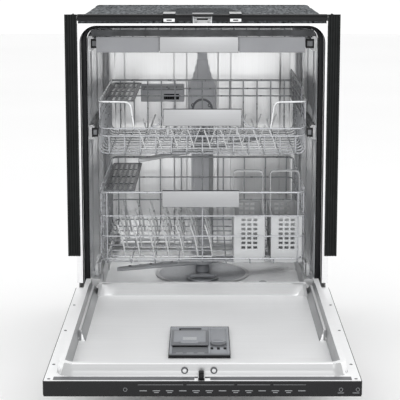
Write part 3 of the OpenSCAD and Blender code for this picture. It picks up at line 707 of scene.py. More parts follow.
def filter_parts():
    """The pierced sump plate with its pressed rings, and the twist-out filter cup."""
    b = Builder()
    rim_profile = [(112, 2), (118, 2.6), (121.8, 1.4), (121.8, 0.1)]
    b.lathe((0, 270, 172), (0, 0, 1), rim_profile, FLANGE_STEEL, 64, closed=False)
    hole_a, hole_b = (215, 37.0), (290, 19.0)
    rows = []
    for radius in lines_at([(4, 6), (113, 6)]):
        line = []
        for k in range(96):
            a = math.tau * k / 96
            x, y = radius * math.cos(a), 270 + radius * math.sin(a)
            for cy, r in (hole_a, hole_b):
                away = math.hypot(x, y - cy)
                if away < r:
                    scale = r / max(away, 0.5)
                    x, y = x * scale, cy + (y - cy) * scale
            line.append((x, y, 173.6))
        rows.append(line)
    b.grid(rows, MESH, closed_rows=True)
    b.finish("filter_plate_pierced", "cabinet", ("filter_plate",))
    c = Builder()
    c.lathe((0, 215, 98), (0, 0, 1), [(35.8, 0), (35.8, 76.2), (40.8, 76.6), (40.8, 78.8), (33.2, 78.8),
                                      (33.2, 2)], MESH, 48)
    c.box((-33, 211.4, 176), (33, 218.6, 183.2), GREY, 2.2, 3)
    for s in (-1, 1):
        c.box((s * 27 - 6, 206, 176.4), (s * 27 + 6, 224, 179.2), GREY, 1.2)
    c.finish("filter_cup", "filter", ("filter_cylinder",))


def sump_parts():
    """Sump bowl with ribs, the spray arm's post, and the pumps and hoses below."""
    b = Builder()
    b.lathe((0, 270, 92), (0, 0, 1), [(60, 0), (96, 2), (112, 12), (115.6, 30), (115.6, 78.4), (112, 78.4),
                                      (112, 30), (90, 8),
                                      (0.1, 5)], DARK, 56)
    for k in range(12):
        a = math.tau * k / 12 + 0.2
        x, y = 114.4 * math.cos(a), 270 + 114.4 * math.sin(a)
        b.tube([(x, y, 118), (x, y, 168)], 1.5, DARK, 6)
    b.lathe((0, 290, 94), (0, 0, 1), [(17.8, 0), (17.8, 90), (15, 97.5), (8, 98), (8, 117.6), (13.8, 118.4),
                                      (13.8, 121), (9, 122.8),
                                      (0.1, 123)], GREY, 40)
    b.finish("sump_bowl", "cabinet", ("sump",))
    p = Builder()
    p.lathe((-175, 240, 118), (0, 1, 0), [(30, 0), (49.6, 4), (49.6, 30), (42, 36), (39.6, 40), (39.6, 172),
                                          (34, 179.6), (10, 179.8)],
            DARK, 40)
    for k in range(16):
        a = math.tau * k / 16
        p.tube([(-175 + 38.8 * math.cos(a), 290, 118 + 38.8 * math.sin(a)),
                (-175 + 38.8 * math.cos(a), 400, 118 + 38.8 * math.sin(a))],
               1.1, MID_GREY, 6)
    p.lathe((-150, 258, 118), (1, 0, 0), [(15.6, 0), (15.6, 20), (15.9, 22), (15.9, 28), (14, 31.5)], BLACK,
            28)
    p.finish("circulation_pump_body", "cabinet", ("circulation_pump",))
    d = Builder()
    d.lathe((165, 230, 110), (0, 1, 0), [(20, 0), (26.8, 3), (26.8, 34), (23, 38), (23, 84), (18, 89.8)],
            DARK, 36)
    d.lathe((148, 256, 110), (-1, 0, 0), [(11.8, 0), (11.8, 20), (11.0, 29.5)], BLACK, 24)
    d.finish("drain_pump_body", "cabinet", ("drain_pump",))


def connections():
    """Drain spigot with barbs, threaded water inlet, cable box and the floor dome."""
    d = Builder()
    d.box((-252, 572.2, 58.2), (-208, 574.8, 120), ZINC, 0.8)
    barbs = [(7, 0), (9.4, 0), (9.4, 34)]
    for i in range(3):
        barbs += [(8.4, 35 + i * 4.5), (9.45, 38.5 + i * 4.5)]
    d.lathe((-230, 540.2, 95), (0, 1, 0), barbs + [(8.6, 49.4), (7, 49.6), (7, 0)], BLACK, 32, closed=False)
    d.finish("drain_spigot", "cabinet", ("drain_outlet",))
    w = Builder()
    w.box((190.2, 500.2, 58.2), (234.8, 574.8, 121.8), LIGHT, 3.0, 3)
    w.box((197, 520, 96), (228, 560, 121.9), DARK, 2.0)
    threads = [(9.2, 0), (12.2, 0)]
    for i in range(5):
        threads += [(12.2, 2 + i * 2.4), (13.15, 3.1 + i * 2.4)]
    w.lathe((213, 574.6, 92), (0, 1, 0), threads + [(12.2, 15.0), (9.2, 15.3), (9.2, 0)], WHITE, 40,
            closed=False)
    w.finish("inlet_valve_body", "cabinet", ("inlet_valve",))
    f = Builder()
    f.lathe((150, 120, 172), (0, 0, 1), [(17, 0), (17, 8), (14.5, 10), (12, 11), (11.6, 15.4), (8, 17.6),
                                         (0.1, 18)], GREY, 32)
    for k in range(10):
        a = math.tau * k / 10
        f.tube([(150 + 16.4 * math.cos(a), 120 + 16.4 * math.sin(a), 172.4),
                (150 + 16.4 * math.cos(a), 120 + 16.4 * math.sin(a), 180)],
               0.6, MID_GREY, 6)
    f.finish("float_dome", "cabinet", ("float_switch",))


def base_parts():
    """Levelling feet with threads and hex nuts, the toe kick with its folded edges, and its screws."""
    f = Builder()
    for x in (-262, 262):
        for y in (95, 540):
            f.lathe((x, y, 0), (0, 0, 1), [(18.5, 0), (20, 1.2), (19.6, 4), (12, 6.6), (7, 7)], BLACK, 32)
            thread = []
            for i in range(8):
                thread += [(5.2, 6.6 + i * 1.9), (6, 7.5 + i * 1.9)]
            f.lathe((x, y, 0), (0, 0, 1), thread + [(5.2, 22)], ZINC, 20)
            hexagon = [(x + 10 * math.cos(math.radians(a)),
                        y + 10 * math.sin(math.radians(a))) for a in range(0, 360, 60)]
            f.prism(hexagon, "Z", 8.5, 12.5, ZINC, 0.6)
    f.finish("levelling_foot_set", "cabinet", ("levelling_feet",))
    k = Builder()
    k.box((-290, 52, 22), (290, 53.9, 150), OUTER, 0.7)
    for z in (26, 146):
        k.box((-288, 51.6, z - 2), (288, 54, z + 2), OUTER, 0.8)
    k.finish("toe_kick_plate", "cabinet", ("toe_kick",))
    s = Builder()
    for x in (-230, 230):
        s.lathe((x, 51.9, 120), (0, -1, 0), [(4.5, 0), (4.3, 1.2), (2.6, 2.2), (1.6, 2.3), (1.4, 1.0),
                                             (0.1, 1.0)], ZINC, 24)
    s.finish("toe_kick_screw_heads", "cabinet", ("toe_kick_screws",))


# ---------------------------------------------------------------- door

FACE_Z = 207.0
LINER_BACK = -1.6
PAN_Z = 195.0
RIM_Z = 231.0
SILL_Z = 223.0


def liner_height(x, y):
    """Height of the pressed inner face: flange, raised rim, sunken pan, wheel tracks and rear sill."""
    outer = rounded_box_distance(x, y, -281, 281, -650, 40, 34)
    inner = rounded_box_distance(x, y, -263.5, 263.5, -632, 40, 20)
    chamfer = (abs(x) + y - 263.5 + 26 + 28) / math.sqrt(2)
    pan = max(inner, y + 28, chamfer)
    rim = 1 - smoothstep(-4.5, 0.5, outer)
    rim *= 1 - smoothstep(-9, -5, y)
    crown = RIM_Z if abs(x) > 263 else RIM_Z - (RIM_Z - SILL_Z) * smoothstep(-60, -26, y)
    height = FACE_Z + (crown - FACE_Z) * rim
    sunk = 1 - smoothstep(-2.0, 1.4, pan)
    height += (PAN_Z - height) * sunk
    slope = min(1.0, max(0.0, (abs(x) - 246.5) / 9.5))
    fade = smoothstep(-386, -374, y + (255 - abs(x)) * 0.6) * (1 - smoothstep(-38, -30,
                                                                              y + max(0, abs(x) - 240) * 0.6))
    track = PAN_Z + 19.0 * slope * fade
    if pan < 0:
        height = max(height, track)
    dish = 0.8 * max(0.0, 1 - (x / 230) ** 2) * max(0.0, 1 - ((y + 330) / 290) ** 2)
    if 247 < abs(x) < 263.2 and y > -66:
        height = min(height, PAN_Z + 19.0 * slope)
    return height - (dish if pan < -8 else 0)


def door_liner():
    """The pressed steel inner door, with its folded side flanges; its front rim, sill and pan side faces carry
    painted shade, and a dark strip before the rim is a painted shadow.
    """
    b = Builder()
    xs_right = lines_at([(0, 14), (238, 1.6), (286, 3), (301, 3)])
    xs = [-x for x in reversed(xs_right[1:])] + xs_right
    ys = lines_at([(-676, 3), (-655, 1.5), (-622, 12), (-400, 3), (-366, 12), (-70, 1.6), (LINER_BACK, 1.6)])
    rows = [[(x, y, liner_height(x, y)) for x in xs] for y in ys]
    b.grid(rows, DOOR_STEEL)
    for s in (-1, 1):
        edge = [(s * 301, y, FACE_Z) for y in ys]
        b.grid([edge, [(s * 301, y, 179.2) for _, y, _ in edge]], DOOR_STEEL)
    b.grid([[(x, LINER_BACK, liner_height(x, LINER_BACK)) for x in xs],
            [(x, LINER_BACK, FACE_Z - 1.4) for x in xs]], DOOR_STEEL)
    under = [[(x, y, liner_height(x, y) - 1.2) for x in xs[::2]] for y in ys[::2]]
    b.grid(under, ZINC)
    # Faces turned to the front on the rim and sill, and the pan's side walls, take darker copies of the liner
    # steel: painted shade.
    for face in b.bm.faces:
        face.normal_update()
        spot = face.calc_center_median()
        if face.normal.y < -0.5 and (spot.y < -640 or spot.y > -70):
            face.material_index = b._index(SHADED_RIM_STEEL)
        elif abs(face.normal.x) > 0.3 and abs(spot.x) < 266 and spot.z > PAN_Z:
            face.material_index = b._index(SHADED_WALL_STEEL)
    for s in (-1, 1):
        b.box((s * 301.6 - 0.8, -676, 179), (s * 301.6 + 0.8, -4, FACE_Z), DEEP, 0.5)
    # A dark strip on the flange along the foot of the rim's front face: painted shadow.
    b.box((-284, -671, 206.2), (284, -651, FACE_Z + 0.1), DARK, 0.1)
    return b.finish("door_liner_pressing", "door", ("door_liner",))


def screw_heads(b, places, z, material):
    for x, y in places:
        b.lathe((x, y, z), (0, 0, 1), [(3.2, 0), (3.0, 0.5), (1.6, 0.78), (0.9, 0.5), (0.1, 0.5)], material,
                16)


def door_details():
    """Flange screws, rim plugs, latch housing and hook."""
    s = Builder()
    places = [(side * 292, y) for y in (-155, -352, -578, -664) for side in (-1, 1)]
    screw_heads(s, places, FACE_Z, DARK)
    s.finish("liner_screw_heads", "door", ("liner_screws",))
    p = Builder()
    for x in (-34, 22):
        p.lathe((x, -650, 219), (0, -1, 0), [(6.6, 0), (6.5, 1.6), (5.0, 2.8), (4.4, 2.6), (4.2, 1.0)],
                DARK, 32, closed=False)
        p.lathe((x, -650, 219), (0, -1, 0), [(4.3, 0.4), (3.9, 1.8), (0.1, 2.2)], WHITE, 32)
    p.finish("liner_plug_caps", "door", ("liner_plugs",))
    h = Builder()
    h.box((-15, -675, 206.4), (-8, -653, 207.5), DOOR_STEEL, 0.3)
    h.box((4, -675, 206.4), (15, -653, 207.5), DOOR_STEEL, 0.3)
    h.box((-15, -660, 206.4), (15, -653, 207.5), DOOR_STEEL, 0.3)
    h.box((-8.4, -674.4, 206.0), (4.4, -659.6, 207.2), DEEP, 0.3)
    h.finish("latch_housing_frame", "door", ("latch_housing",))
    k = Builder()
    k.box((-7, -671, 208.3), (3, -663.4, 222), BLACK, 1.0)
    k.box((-7, -671, 218.6), (3, -660.6, 223), BLACK, 1.3, 3)
    k.box((-5, -671.4, 212), (1, -670.6, 217), BLACK_GLOSS, 0.3)
    k.finish("latch_hook_tongue", "latch", ("latch_hook",))


def dispenser():
    """Detergent dispenser: a bezel with a drip edge, a walled cup, its sliding lid and the rinse-aid cap."""
    lo, hi = mm_box("dispenser_housing")
    top = PAN_Z + 6
    b = Builder()
    b.box((lo.x, lo.y, PAN_Z), (hi.x, lo.y + 5, top - 0.6), DEEP, 1.6, 3)
    b.box((lo.x, lo.y + 4, PAN_Z), (hi.x, lo.y + 14, top), MID_GREY, 1.6, 3)
    for x in (lo.x, hi.x - 1.2):
        b.box((x, lo.y, PAN_Z), (x + 1.2, hi.y, top + 0.2), DEEP, 0.4)
    b.box((lo.x, hi.y - 1.2, PAN_Z), (hi.x, hi.y, top + 0.2), DEEP, 0.4)
    b.box((lo.x, hi.y - 11, PAN_Z), (hi.x, hi.y, top), GREY, 2.0, 3)
    b.box((lo.x, lo.y + 11, PAN_Z), (lo.x + 7, hi.y - 9, top), GREY, 1.6, 3)
    b.box((hi.x - 7, lo.y + 11, PAN_Z), (hi.x, hi.y - 9, top), GREY, 1.6, 3)
    b.box((12, lo.y + 10, PAN_Z), (17, hi.y - 8, top), GREY, 1.4)
    b.box((15, lo.y + 10, PAN_Z + 0.5), (hi.x - 5, hi.y - 8, top - 1.6), GREY, 1.0)
    b.box((lo.x + 5, -338, PAN_Z + 0.5), (14, hi.y - 8, top - 1.2), GREY, 1.0)
    b.box((-50, -331, top - 1.6), (-2, -313, top - 0.6), DEEP, 0.6)
    b.box((-46, -331, top - 1.2), (-2, -324, top + 0.2), MID_GREY, 0.6)
    b.box((lo.x + 5, lo.y + 10, PAN_Z + 0.5), (14, -441, top - 2.0), MID_GREY, 1.0)
    for i in range(3):
        b.box((-54 + i * 22, lo.y + 16, top - 2.4), (-40 + i * 22, lo.y + 22, top - 0.8), GREY, 0.8)
    b.box((-62, -441, PAN_Z - 11), (9, -436, top - 1.5), DEEP, 0.8)
    b.box((-66, -441, PAN_Z - 11), (-62, -338, top - 1.0), DARK, 0.8)
    b.box((9, -441, PAN_Z - 11), (12, -338, top - 1.0), DARK, 0.8)
    b.box((-64, -440, PAN_Z - 12), (11, -340, PAN_Z - 10), DEEP, 0.5)
    for i in range(3):
        angle = math.radians(90 + (i - 1) * 38)
        x, y = 33 + 22 * math.cos(angle), -447 - 6 * math.sin(angle)
        b.box((x - 3, y - 7, top - 1.8), (x + 3, y + 5, top - 0.6), DEEP, 0.8)
    b.lathe((33, -425, PAN_Z + 2), (0, 0, 1), [(20.5, 0), (20.5, 3.4), (17.6, 3.8), (17.4, 2.0)], MID_GREY,
            40, closed=False)
    b.finish("dispenser_bezel", "door", ("dispenser_housing",))
    lo, hi = mm_box("dispenser_lid")
    c = Builder()
    c.box((lo.x, lo.y, lo.z), (hi.x, hi.y, lo.z + 2.6), MID_GREY, 1.2, 3)
    c.box((lo.x + 5, lo.y + 18, lo.z + 1.8), (hi.x - 5, hi.y - 6, lo.z + 3.3), GREY, 1.2)
    c.box((lo.x + 20, lo.y + 4, lo.z + 1.5), (hi.x - 20, lo.y + 12, hi.z), GREY, 1.6, 3)
    for i in range(5):
        y = lo.y + 30 + i * 4
        c.box((lo.x + 24, y, lo.z + 2.8), (hi.x - 24, y + 1.4, lo.z + 4.0), LIGHT, 0.4)
    c.finish("dispenser_lid_slide", "detergent_lid", ("dispenser_lid",))
    lo, hi = mm_box("rinse_aid_cap")
    r = Builder()
    z = hi.z - 6
    notch = []
    for i in range(48):
        radius = 16.9 - (0.7 if i % 4 == 0 else 0.0)
        angle = math.tau * i / 48
        notch.append((33 + radius * math.cos(angle), -425 + radius * math.sin(angle)))
    r.prism(notch, "Z", z, z + 3, MID_GREY, 0.6)
    r.box((19.5, -428.6, z + 1.5), (46.5, -421.4, hi.z), GREY, 1.8, 3)
    r.lathe((33, -425, lo.z), (0, 0, 1), [(13.6, 0), (13.6, 14.5)], DARK, 32)
    r.finish("rinse_aid_cap_grip", "rinse_cap", ("rinse_aid_cap",))


def control_panel():
    """Gloss black control strip with generic symbols only: rings, bars and dots."""
    lo, hi = mm_box("control_panel")
    b = Builder()
    b.box((lo.x, lo.y, lo.z), (hi.x, lo.y + 4, hi.z - 0.2), BLACK_GLOSS, 1.0, 3)
    b.box((-296, lo.y + 3, lo.z + 2), (296, -640, 193), BLACK, 1.5)
    face = lo.y - 0.12
    mid = (lo.z + hi.z) / 2

    def mark(x0, x1, z0, z1):
        b.box((x0, face, z0), (x1, lo.y + 0.5, z1), LEGEND, 0.15, 1)

    for i in range(13):
        x = -112 + i * 25
        mark(x - 7, x + 7, mid - 4.0, mid - 2.6)
        if i % 3:
            mark(x - 4.5, x + 4.5, mid - 7.4, mid - 6.2)
    for x0, x1 in ((-122, -36), (-30, 60), (66, 128), (134, 196)):
        mark(x0, x1, mid + 8.2, mid + 8.8)
    for x in (-146, 262, 294):
        ring = [(x + 3.4 * math.cos(math.radians(a)), lo.y + 0.1,
                 mid - 1 + 3.4 * math.sin(math.radians(a))) for a in range(0, 360, 30)]
        b.tube(ring, 0.35, LEGEND, 6, closed=True)
    mark(256, 268, mid - 8, mid - 7)
    mark(284, 297, mid - 8, mid - 7)
    return b.finish("control_strip", "door", ("control_panel",))


# ---------------------------------------------------------------- racks

WIRE_R = 1.75
RIM_R = 2.5


def basket_wires(b, half, y0, y1, floor, front, side, back, nx, ny, radius=18):
    """A rack of bent round wire: U wires both ways, ring rims, and a stouter top rim."""
    for x in spaced(-half + 22, half - 22, nx):
        wire = [(x, y0, front), (x, y0 + 2, floor + 2), (x, y1 - 2, floor + 2), (x, y1, back)]
        b.tube(rounded(wire, radius), WIRE_R, WIRE)
    for y in spaced(y0 + 24, y1 - 24, ny):
        b.tube(rounded([(-half, y, side), (-half + 2, y, floor), (half - 2, y, floor), (half, y, side)],
                       radius), WIRE_R, WIRE)
    rim = [(-half, y0 + 30, side), (-half, y1, back), (half, y1, back), (half, y0 + 30, side),
           (half, y0, front), (-half, y0, front)]
    b.tube(rounded(rim, 26, 6, True), RIM_R, WIRE, 10, closed=True)


def ring(b, half, y0, y1, z_front, z_back, radius=WIRE_R):
    """One wire all the way round a rack."""
    path = [(-half, y0, z_front), (half, y0, z_front), (half, y1, z_back), (-half, y1, z_back)]
    b.tube(rounded(path, 22, 6, True), radius, WIRE, 8, closed=True)


def runners(b, x0, low, high):
    """The racks' own rail members on both sides."""
    for s in (-1, 1):
        a, c = sorted((s * x0, s * 263.8))
        b.box((a, 63, low + 1), (c, 509.5, high - 1), ZINC, 1.2)
        b.box((a, 60.2, low), (c, 64, high), BLACK, 1.4, 3)
        b.box((a + 3, 59.8, low + 5), (c - 3, 61, high - 5), MID_GREY, 0.6)
        for y in (90, 285, 480):
            b.lathe((s * 256, y, (low + high) / 2), (s, 0, 0), [(5, 0), (5, 7.6), (3, 7.8)], ZINC, 20)


def handle_plate(name, body, x0, x1, y, z0, z1, replaces, feet):
    """A satin plate with a rolled top lip, a returned bottom edge and its two feet."""
    b = Builder()
    section = [(y, z0 + 2), (y + 0.6, z0), (y + 7, z0), (y + 7.6, z0 + 1.2), (y + 3.4, z0 + 2.6),
               (y + 3.4, z1 - 3.4),
               (y + 7.6, z1 - 2.4), (y + 7.8, z1 - 0.6), (y + 6.6, z1), (y + 1.4, z1), (y + 0.3,
                                                                                        z1 - 0.8), (y,
                                                                                                    z1 - 2.4)]
    b.prism(section, "X", x0, x1, HANDLE, 0.6)
    b.box((x0, y - 0.1, z1 - 1.5), (x1, y + 7.8, z1), DARK, 0.5)
    for x in (x0, x1 - 0.9):
        b.box((x, y - 0.1, z0 + 0.5), (x + 0.9, y + 7.6, z1), DARK, 0.3)
    b.box((x0, y + 0.1, z0), (x1, y + 7.4, z0 + 1.0), DARK, 0.4)
    for lo, hi in feet:
        b.box(lo, hi, LIGHT, 1.0)
    return b.finish(name, body, replaces)


def top_rack():
    """The upper tray: its wires, its rails, the handle plate and the two wing plates."""
    b = Builder()
    z = 767.5
    basket_wires(b, 243, 52, 508, z, 776, 794, 794, 14, 10, 12)
    ring(b, 243, 52, 508, 772, 780)
    runners(b, 245, 774, 796)
    b.finish("top_tray_wires", "upper_tray", ("top_tray",))
    handle_plate("top_tray_handle_plate", "upper_tray", -101, 85, 42, 765, 803, ("top_tray_handle",),
                 [((-88, 47, 768), (-78, 50, 776)), ((62, 47, 768), (72, 50, 776))])
    w = Builder()
    for x0, x1 in ((-250, -102.6), (86.6, 242)):
        bow = [(x, 44 + 1.2 * ((x - (x0 + x1) / 2) / 75) ** 2) for x in spaced(x0, x1, 14)]
        rows = []
        for zz, push in ((764.8, 4.6), (765.2, 1.0), (767, 0), (799, 0), (801.6, 0.8), (802.2, 4.6)):
            rows.append([(x, min(49.4, y + push), zz) for x, y in bow])
        w.grid(rows + [rows[0]], WING)
        for x in (x0, x1):
            w.grid([[(x, 49.4, 765), (x, 49.4, 802)], [(x, 44.8, 766), (x, 44.8, 801)]], WING)
    w.finish("top_tray_wing_plates", "upper_tray", ("top_tray_wings",))


def middle_rack():
    b = Builder()
    floor = 518.5
    half, y0, y1 = 247, 53.8, 513
    for x in spaced(-half + 24, half - 24, 13):
        path = [(x, y0, 565), (x, y0 + 2, floor), (x, y1 - 2, floor), (x, y1, 649)]
        b.tube(rounded(path, 16), WIRE_R, WIRE)
    for y in spaced(y0 + 30, y1 - 24, 11):
        b.tube(rounded([(-half, y, 648), (-half, y, floor), (half, y, floor), (half, y, 648)], 16), WIRE_R,
               WIRE)
    for z_front, z_side in ((565, 606), (583, 626)):
        path = [(half, y1, z_side), (-half, y1, z_side), (-half, y0 + 70, z_side), (-half, y0, z_front),
                (half, y0, z_front), (half, y0 + 70, z_side)]
        b.tube(rounded(path, 20, 6, True), WIRE_R + 0.2, WIRE, 8, closed=True)
    rim = [(-half, y1, 648.5), (-half, y0 + 5, 647), (-172, y0 + 4, 646), (-163, y0 + 2, 583)]
    for s in (-1, 1):
        b.tube(rounded([(-s * x, y, z) for x, y, z in rim], 14), RIM_R, PRONG, 10)
    b.tube([(-half, y1, 648.5), (half, y1, 648.5)], RIM_R, WIRE, 10)
    for s in (-1, 1):
        b.tube(rounded([(s * 128, y0 - 0.4, 583), (s * 104, y0 - 2, 592), (s * 90, y0 - 3.4, 622),
                        (s * 70, y0 - 3.4, 622)], 8),
               WIRE_R, WIRE)
    for row_y, lean in ((130, -16), (215, 18), (330, -14), (420, 16)):
        b.tube([(-150, row_y, floor + 3.4), (190, row_y, floor + 3.4)], 1.9, PRONG, 8)
        for x in spaced(-140, 180, 9):
            b.tube(rounded([(x, row_y, floor + 3), (x + lean * 0.4, row_y, floor + 26),
                            (x + lean, row_y, floor + 50)], 12, 3),
                   1.9, PRONG, 8)
    runners(b, 249.4, 562, 584)
    b.finish("middle_rack_wires", "middle_basket", ("middle_rack",))
    handle_plate("middle_handle_plate", "middle_basket", -93, 93, 44, 590, 631, ("middle_rack_handle",),
                 [((-85, 47, 568), (-80, 51.6, 594)), ((80, 47, 568), (85, 51.6, 594))])
    f = Builder()
    f.tube([(0, 290, 511.6), (0, 520, 511.6)], 3.8, LIGHT, 16)
    f.box((-12.8, 292, 507.7), (12.8, 519.8, 515.4), LIGHT, 2.4, 3)
    f.lathe((0, 290, 485.2), (0, 0, 1), [(9, 0), (13.6, 1.4), (13.6, 3.6), (8, 4.2), (8, 20), (14, 22.5),
                                         (23.6, 24), (23.6, 29),
                                         (18, 30.2)], LIGHT, 40)
    f.finish("middle_spray_feed_pipe", "middle_basket", ("middle_spray_feed",))


def spray_arm(name, body, reach, z0, height, angle, material, node):
    """A blown two-blade arm: a lens-shaped section that tapers and twists, with a hub and slotted jets."""
    b = Builder()
    turn = Matrix.Rotation(math.radians(angle), 4, "Z")

    def spot(x, y, z):
        v = turn @ Vector((x, y, 0))
        return (v.x, 290 + v.y, z0 + z)

    blade = height - 3.4
    for s in (-1, 1):
        rows = []
        for t in spaced(0.04, 1, 22):
            reach_x = reach * t
            width = 21 - 8 * t
            if t > 0.93:
                width *= math.sqrt(max(0.02, 1 - ((t - 0.93) / 0.07) ** 2))
            tall = blade * (0.5 - 0.1 * t)
            line = []
            for k in range(16):
                a = math.tau * k / 16
                y = width * math.cos(a)
                z = blade * 0.5 + tall * math.copysign(abs(math.sin(a)) ** 0.7, math.sin(a))
                line.append(spot(s * reach_x, y, z))
            rows.append(line)
        b.grid(rows, material, closed_rows=True)
        b.grid([rows[-1], [spot(s * reach * 0.999, 0, blade * 0.5)] * 16], material, closed_rows=True)
        for i in range(6):
            x = s * (58 + i * (reach - 92) / 5)
            cx, cy, cz = spot(x, 0, blade - 0.6)
            b.lathe((cx, cy, cz), (0, 0, 1), [(4.2, 0), (3.6, 1.4), (1.8, 1.7), (1.4, 0.6)],
                    DARK if i % 2 else material, 14)
    b.lathe((0, 290, z0), (0, 0, 1), [(8.2, 0.4), (22, 0.4), (29.6, 2.4), (29.6, height - 3),
                                      (26, height - 0.8), (13, height - 0.2),
                                      (8.2, height - 0.6), (8.2, 0.4)], material, 48, closed=False)
    for k in range(10):
        a = math.tau * k / 10
        b.box((21 * math.cos(a) - 1.6, 290 + 21 * math.sin(a) - 1.6, z0 + height - 2),
              (21 * math.cos(a) + 1.6, 290 + 21 * math.sin(a) + 1.6,
              z0 + height), material, 0.6)
    bmesh.ops.remove_doubles(b.bm, verts=b.bm.verts, dist=0.02)
    return b.finish(name, body, (node,))


def shelf(name, body, node, material, upright):
    """A pierced cup shelf: rounded slots, a raised rim, stiffening ribs and hinge barrels."""
    lo, hi = mm_box(node)
    b = Builder()

    def spot(u, v, w):
        """u across from the hinge, v along, w up from the shelf's underside."""
        return (hi.x - w, lo.y + v, lo.z + u) if upright else (lo.x + u, lo.y + v, lo.z + w)

    width, length = (hi.z - lo.z if upright else hi.x - lo.x), hi.y - lo.y
    us = [0, 7] + [v for i in range(5) for v in (9.5 + i * 13, 16.5 + i * 13)] + [width - 1.5, width]
    vs = [0, 7] + [v for i in range(22) for v in (12 + i * 17.2, 23 + i * 17.2)] + [length - 6, length]
    us = sorted({round(u, 3) for u in us if u <= width})
    for w in (3.1, 0.9):
        verts = [[b.bm.verts.new(spot(u, v, w)) for u in us] for v in vs]
        for j in range(len(vs) - 1):
            for i in range(len(us) - 1):
                hole_u = i >= 2 and i % 2 == 0 and i < 12
                hole_v = j >= 2 and j % 2 == 0 and j < 46
                if not (hole_u and hole_v):
                    b.bm.faces.new((verts[j][i], verts[j][i + 1], verts[j + 1][i + 1], verts[j + 1][i]))
    for face in b.bm.faces:
        face.material_index = b._index(material)
    rim = rounded([spot(1.6, 1.6, 2), spot(width - 1.6, 1.6, 2), spot(width - 1.6, length - 1.6, 2),
                   spot(1.6, length - 1.6, 2)],
                  9, 5, True)
    b.tube(rim, 1.7, material, 8, closed=True)
    for v in (length * 0.25, length * 0.5, length * 0.75):
        b.tube([spot(4, v, 2), spot(width - 3, v, 2)], 1.4, material, 8)
    for v in (40, length - 40):
        b.tube([spot(3, v - 14, 2), spot(3, v + 14, 2)], 2.0, LIGHT, 12)
    return b.finish(name, body, (node,))


def lower_rack():
    b = Builder()
    floor = 247.5
    half, y0, y1 = 247, 62, 513
    for i, x in enumerate(spaced(-half + 16, half - 16, 9)):
        path = [(x, y0, 426), (x, y0 + 2, floor + 3.2), (x, y1 - 2, floor + 3.2), (x, y1, 436)]
        if i % 4:
            path[0] = (x, y0 + 1, 262)
        b.tube(rounded(path, 14), WIRE_R, WIRE)
    for y in spaced(y0 + 34, y1 - 24, 8):
        b.tube(rounded([(-half, y, 434), (-half, y, floor), (half, y, floor), (half, y, 434)], 18), WIRE_R,
               WIRE)
    ring(b, half, y0, y1, 368, 381)
    ring(b, half, y0, y1, 318, 318)
    ring(b, half - 6, y0, y1, 262, 262)
    ring(b, half, y0, y1, 426, 437, RIM_R)
    for s in (-1, 1):
        for y in (77, 455):
            b.box((s * 249.6 - 1.6, y - 9, 224), (s * 249.6 + 1.6, y + 9, 250), LIGHT, 1.2)
            b.lathe((s * 250.5, y, 232), (s, 0, 0), [(6.5, 0), (4, 1.6), (4, 12.2), (3.4, 12.5)], LIGHT, 20)
            b.tube(rounded([(s * 247, y, 256), (s * 249, y, 244), (s * 249.4, y, 236)], 4), WIRE_R, WIRE)
    for y in (225, 320, 415):
        prongs(b, y, floor + 4.4)
    b.finish("lower_rack_wires", "lower_basket", ("lower_rack",))
    handle_plate("lower_handle_plate", "lower_basket", -97, 89, 52, 391, 432, ("lower_rack_handle",),
                 [((-80, 57, 402), (-74, 60.4, 424)), ((66, 57, 402), (72, 60.4, 424))])
    t = Builder()
    prongs(t, 130, 250.8)
    t.finish("folding_prongs", "front_tines", ("folding_tines",))


def prongs(b, y, z0):
    """Seven prongs on a rail, all leaning to the left."""
    b.tube([(-202, y, z0), (24, y, z0)], 2.0, PRONG, 10)
    lean = -19
    for i in range(7):
        x = -191 + i * 36
        bend = [(x, y, z0), (x + lean * 0.3, y + 0.5, z0 + 38), (x + lean, y, z0 + 79)]
        b.tube(rounded(bend, 20, 3), 2.4, PRONG, 8)
        b.lathe((x + lean, y, z0 + 79), (0, 0, 1), [(2.4, 0), (1.9, 1.0), (0.6, 1.6)], PRONG, 8)


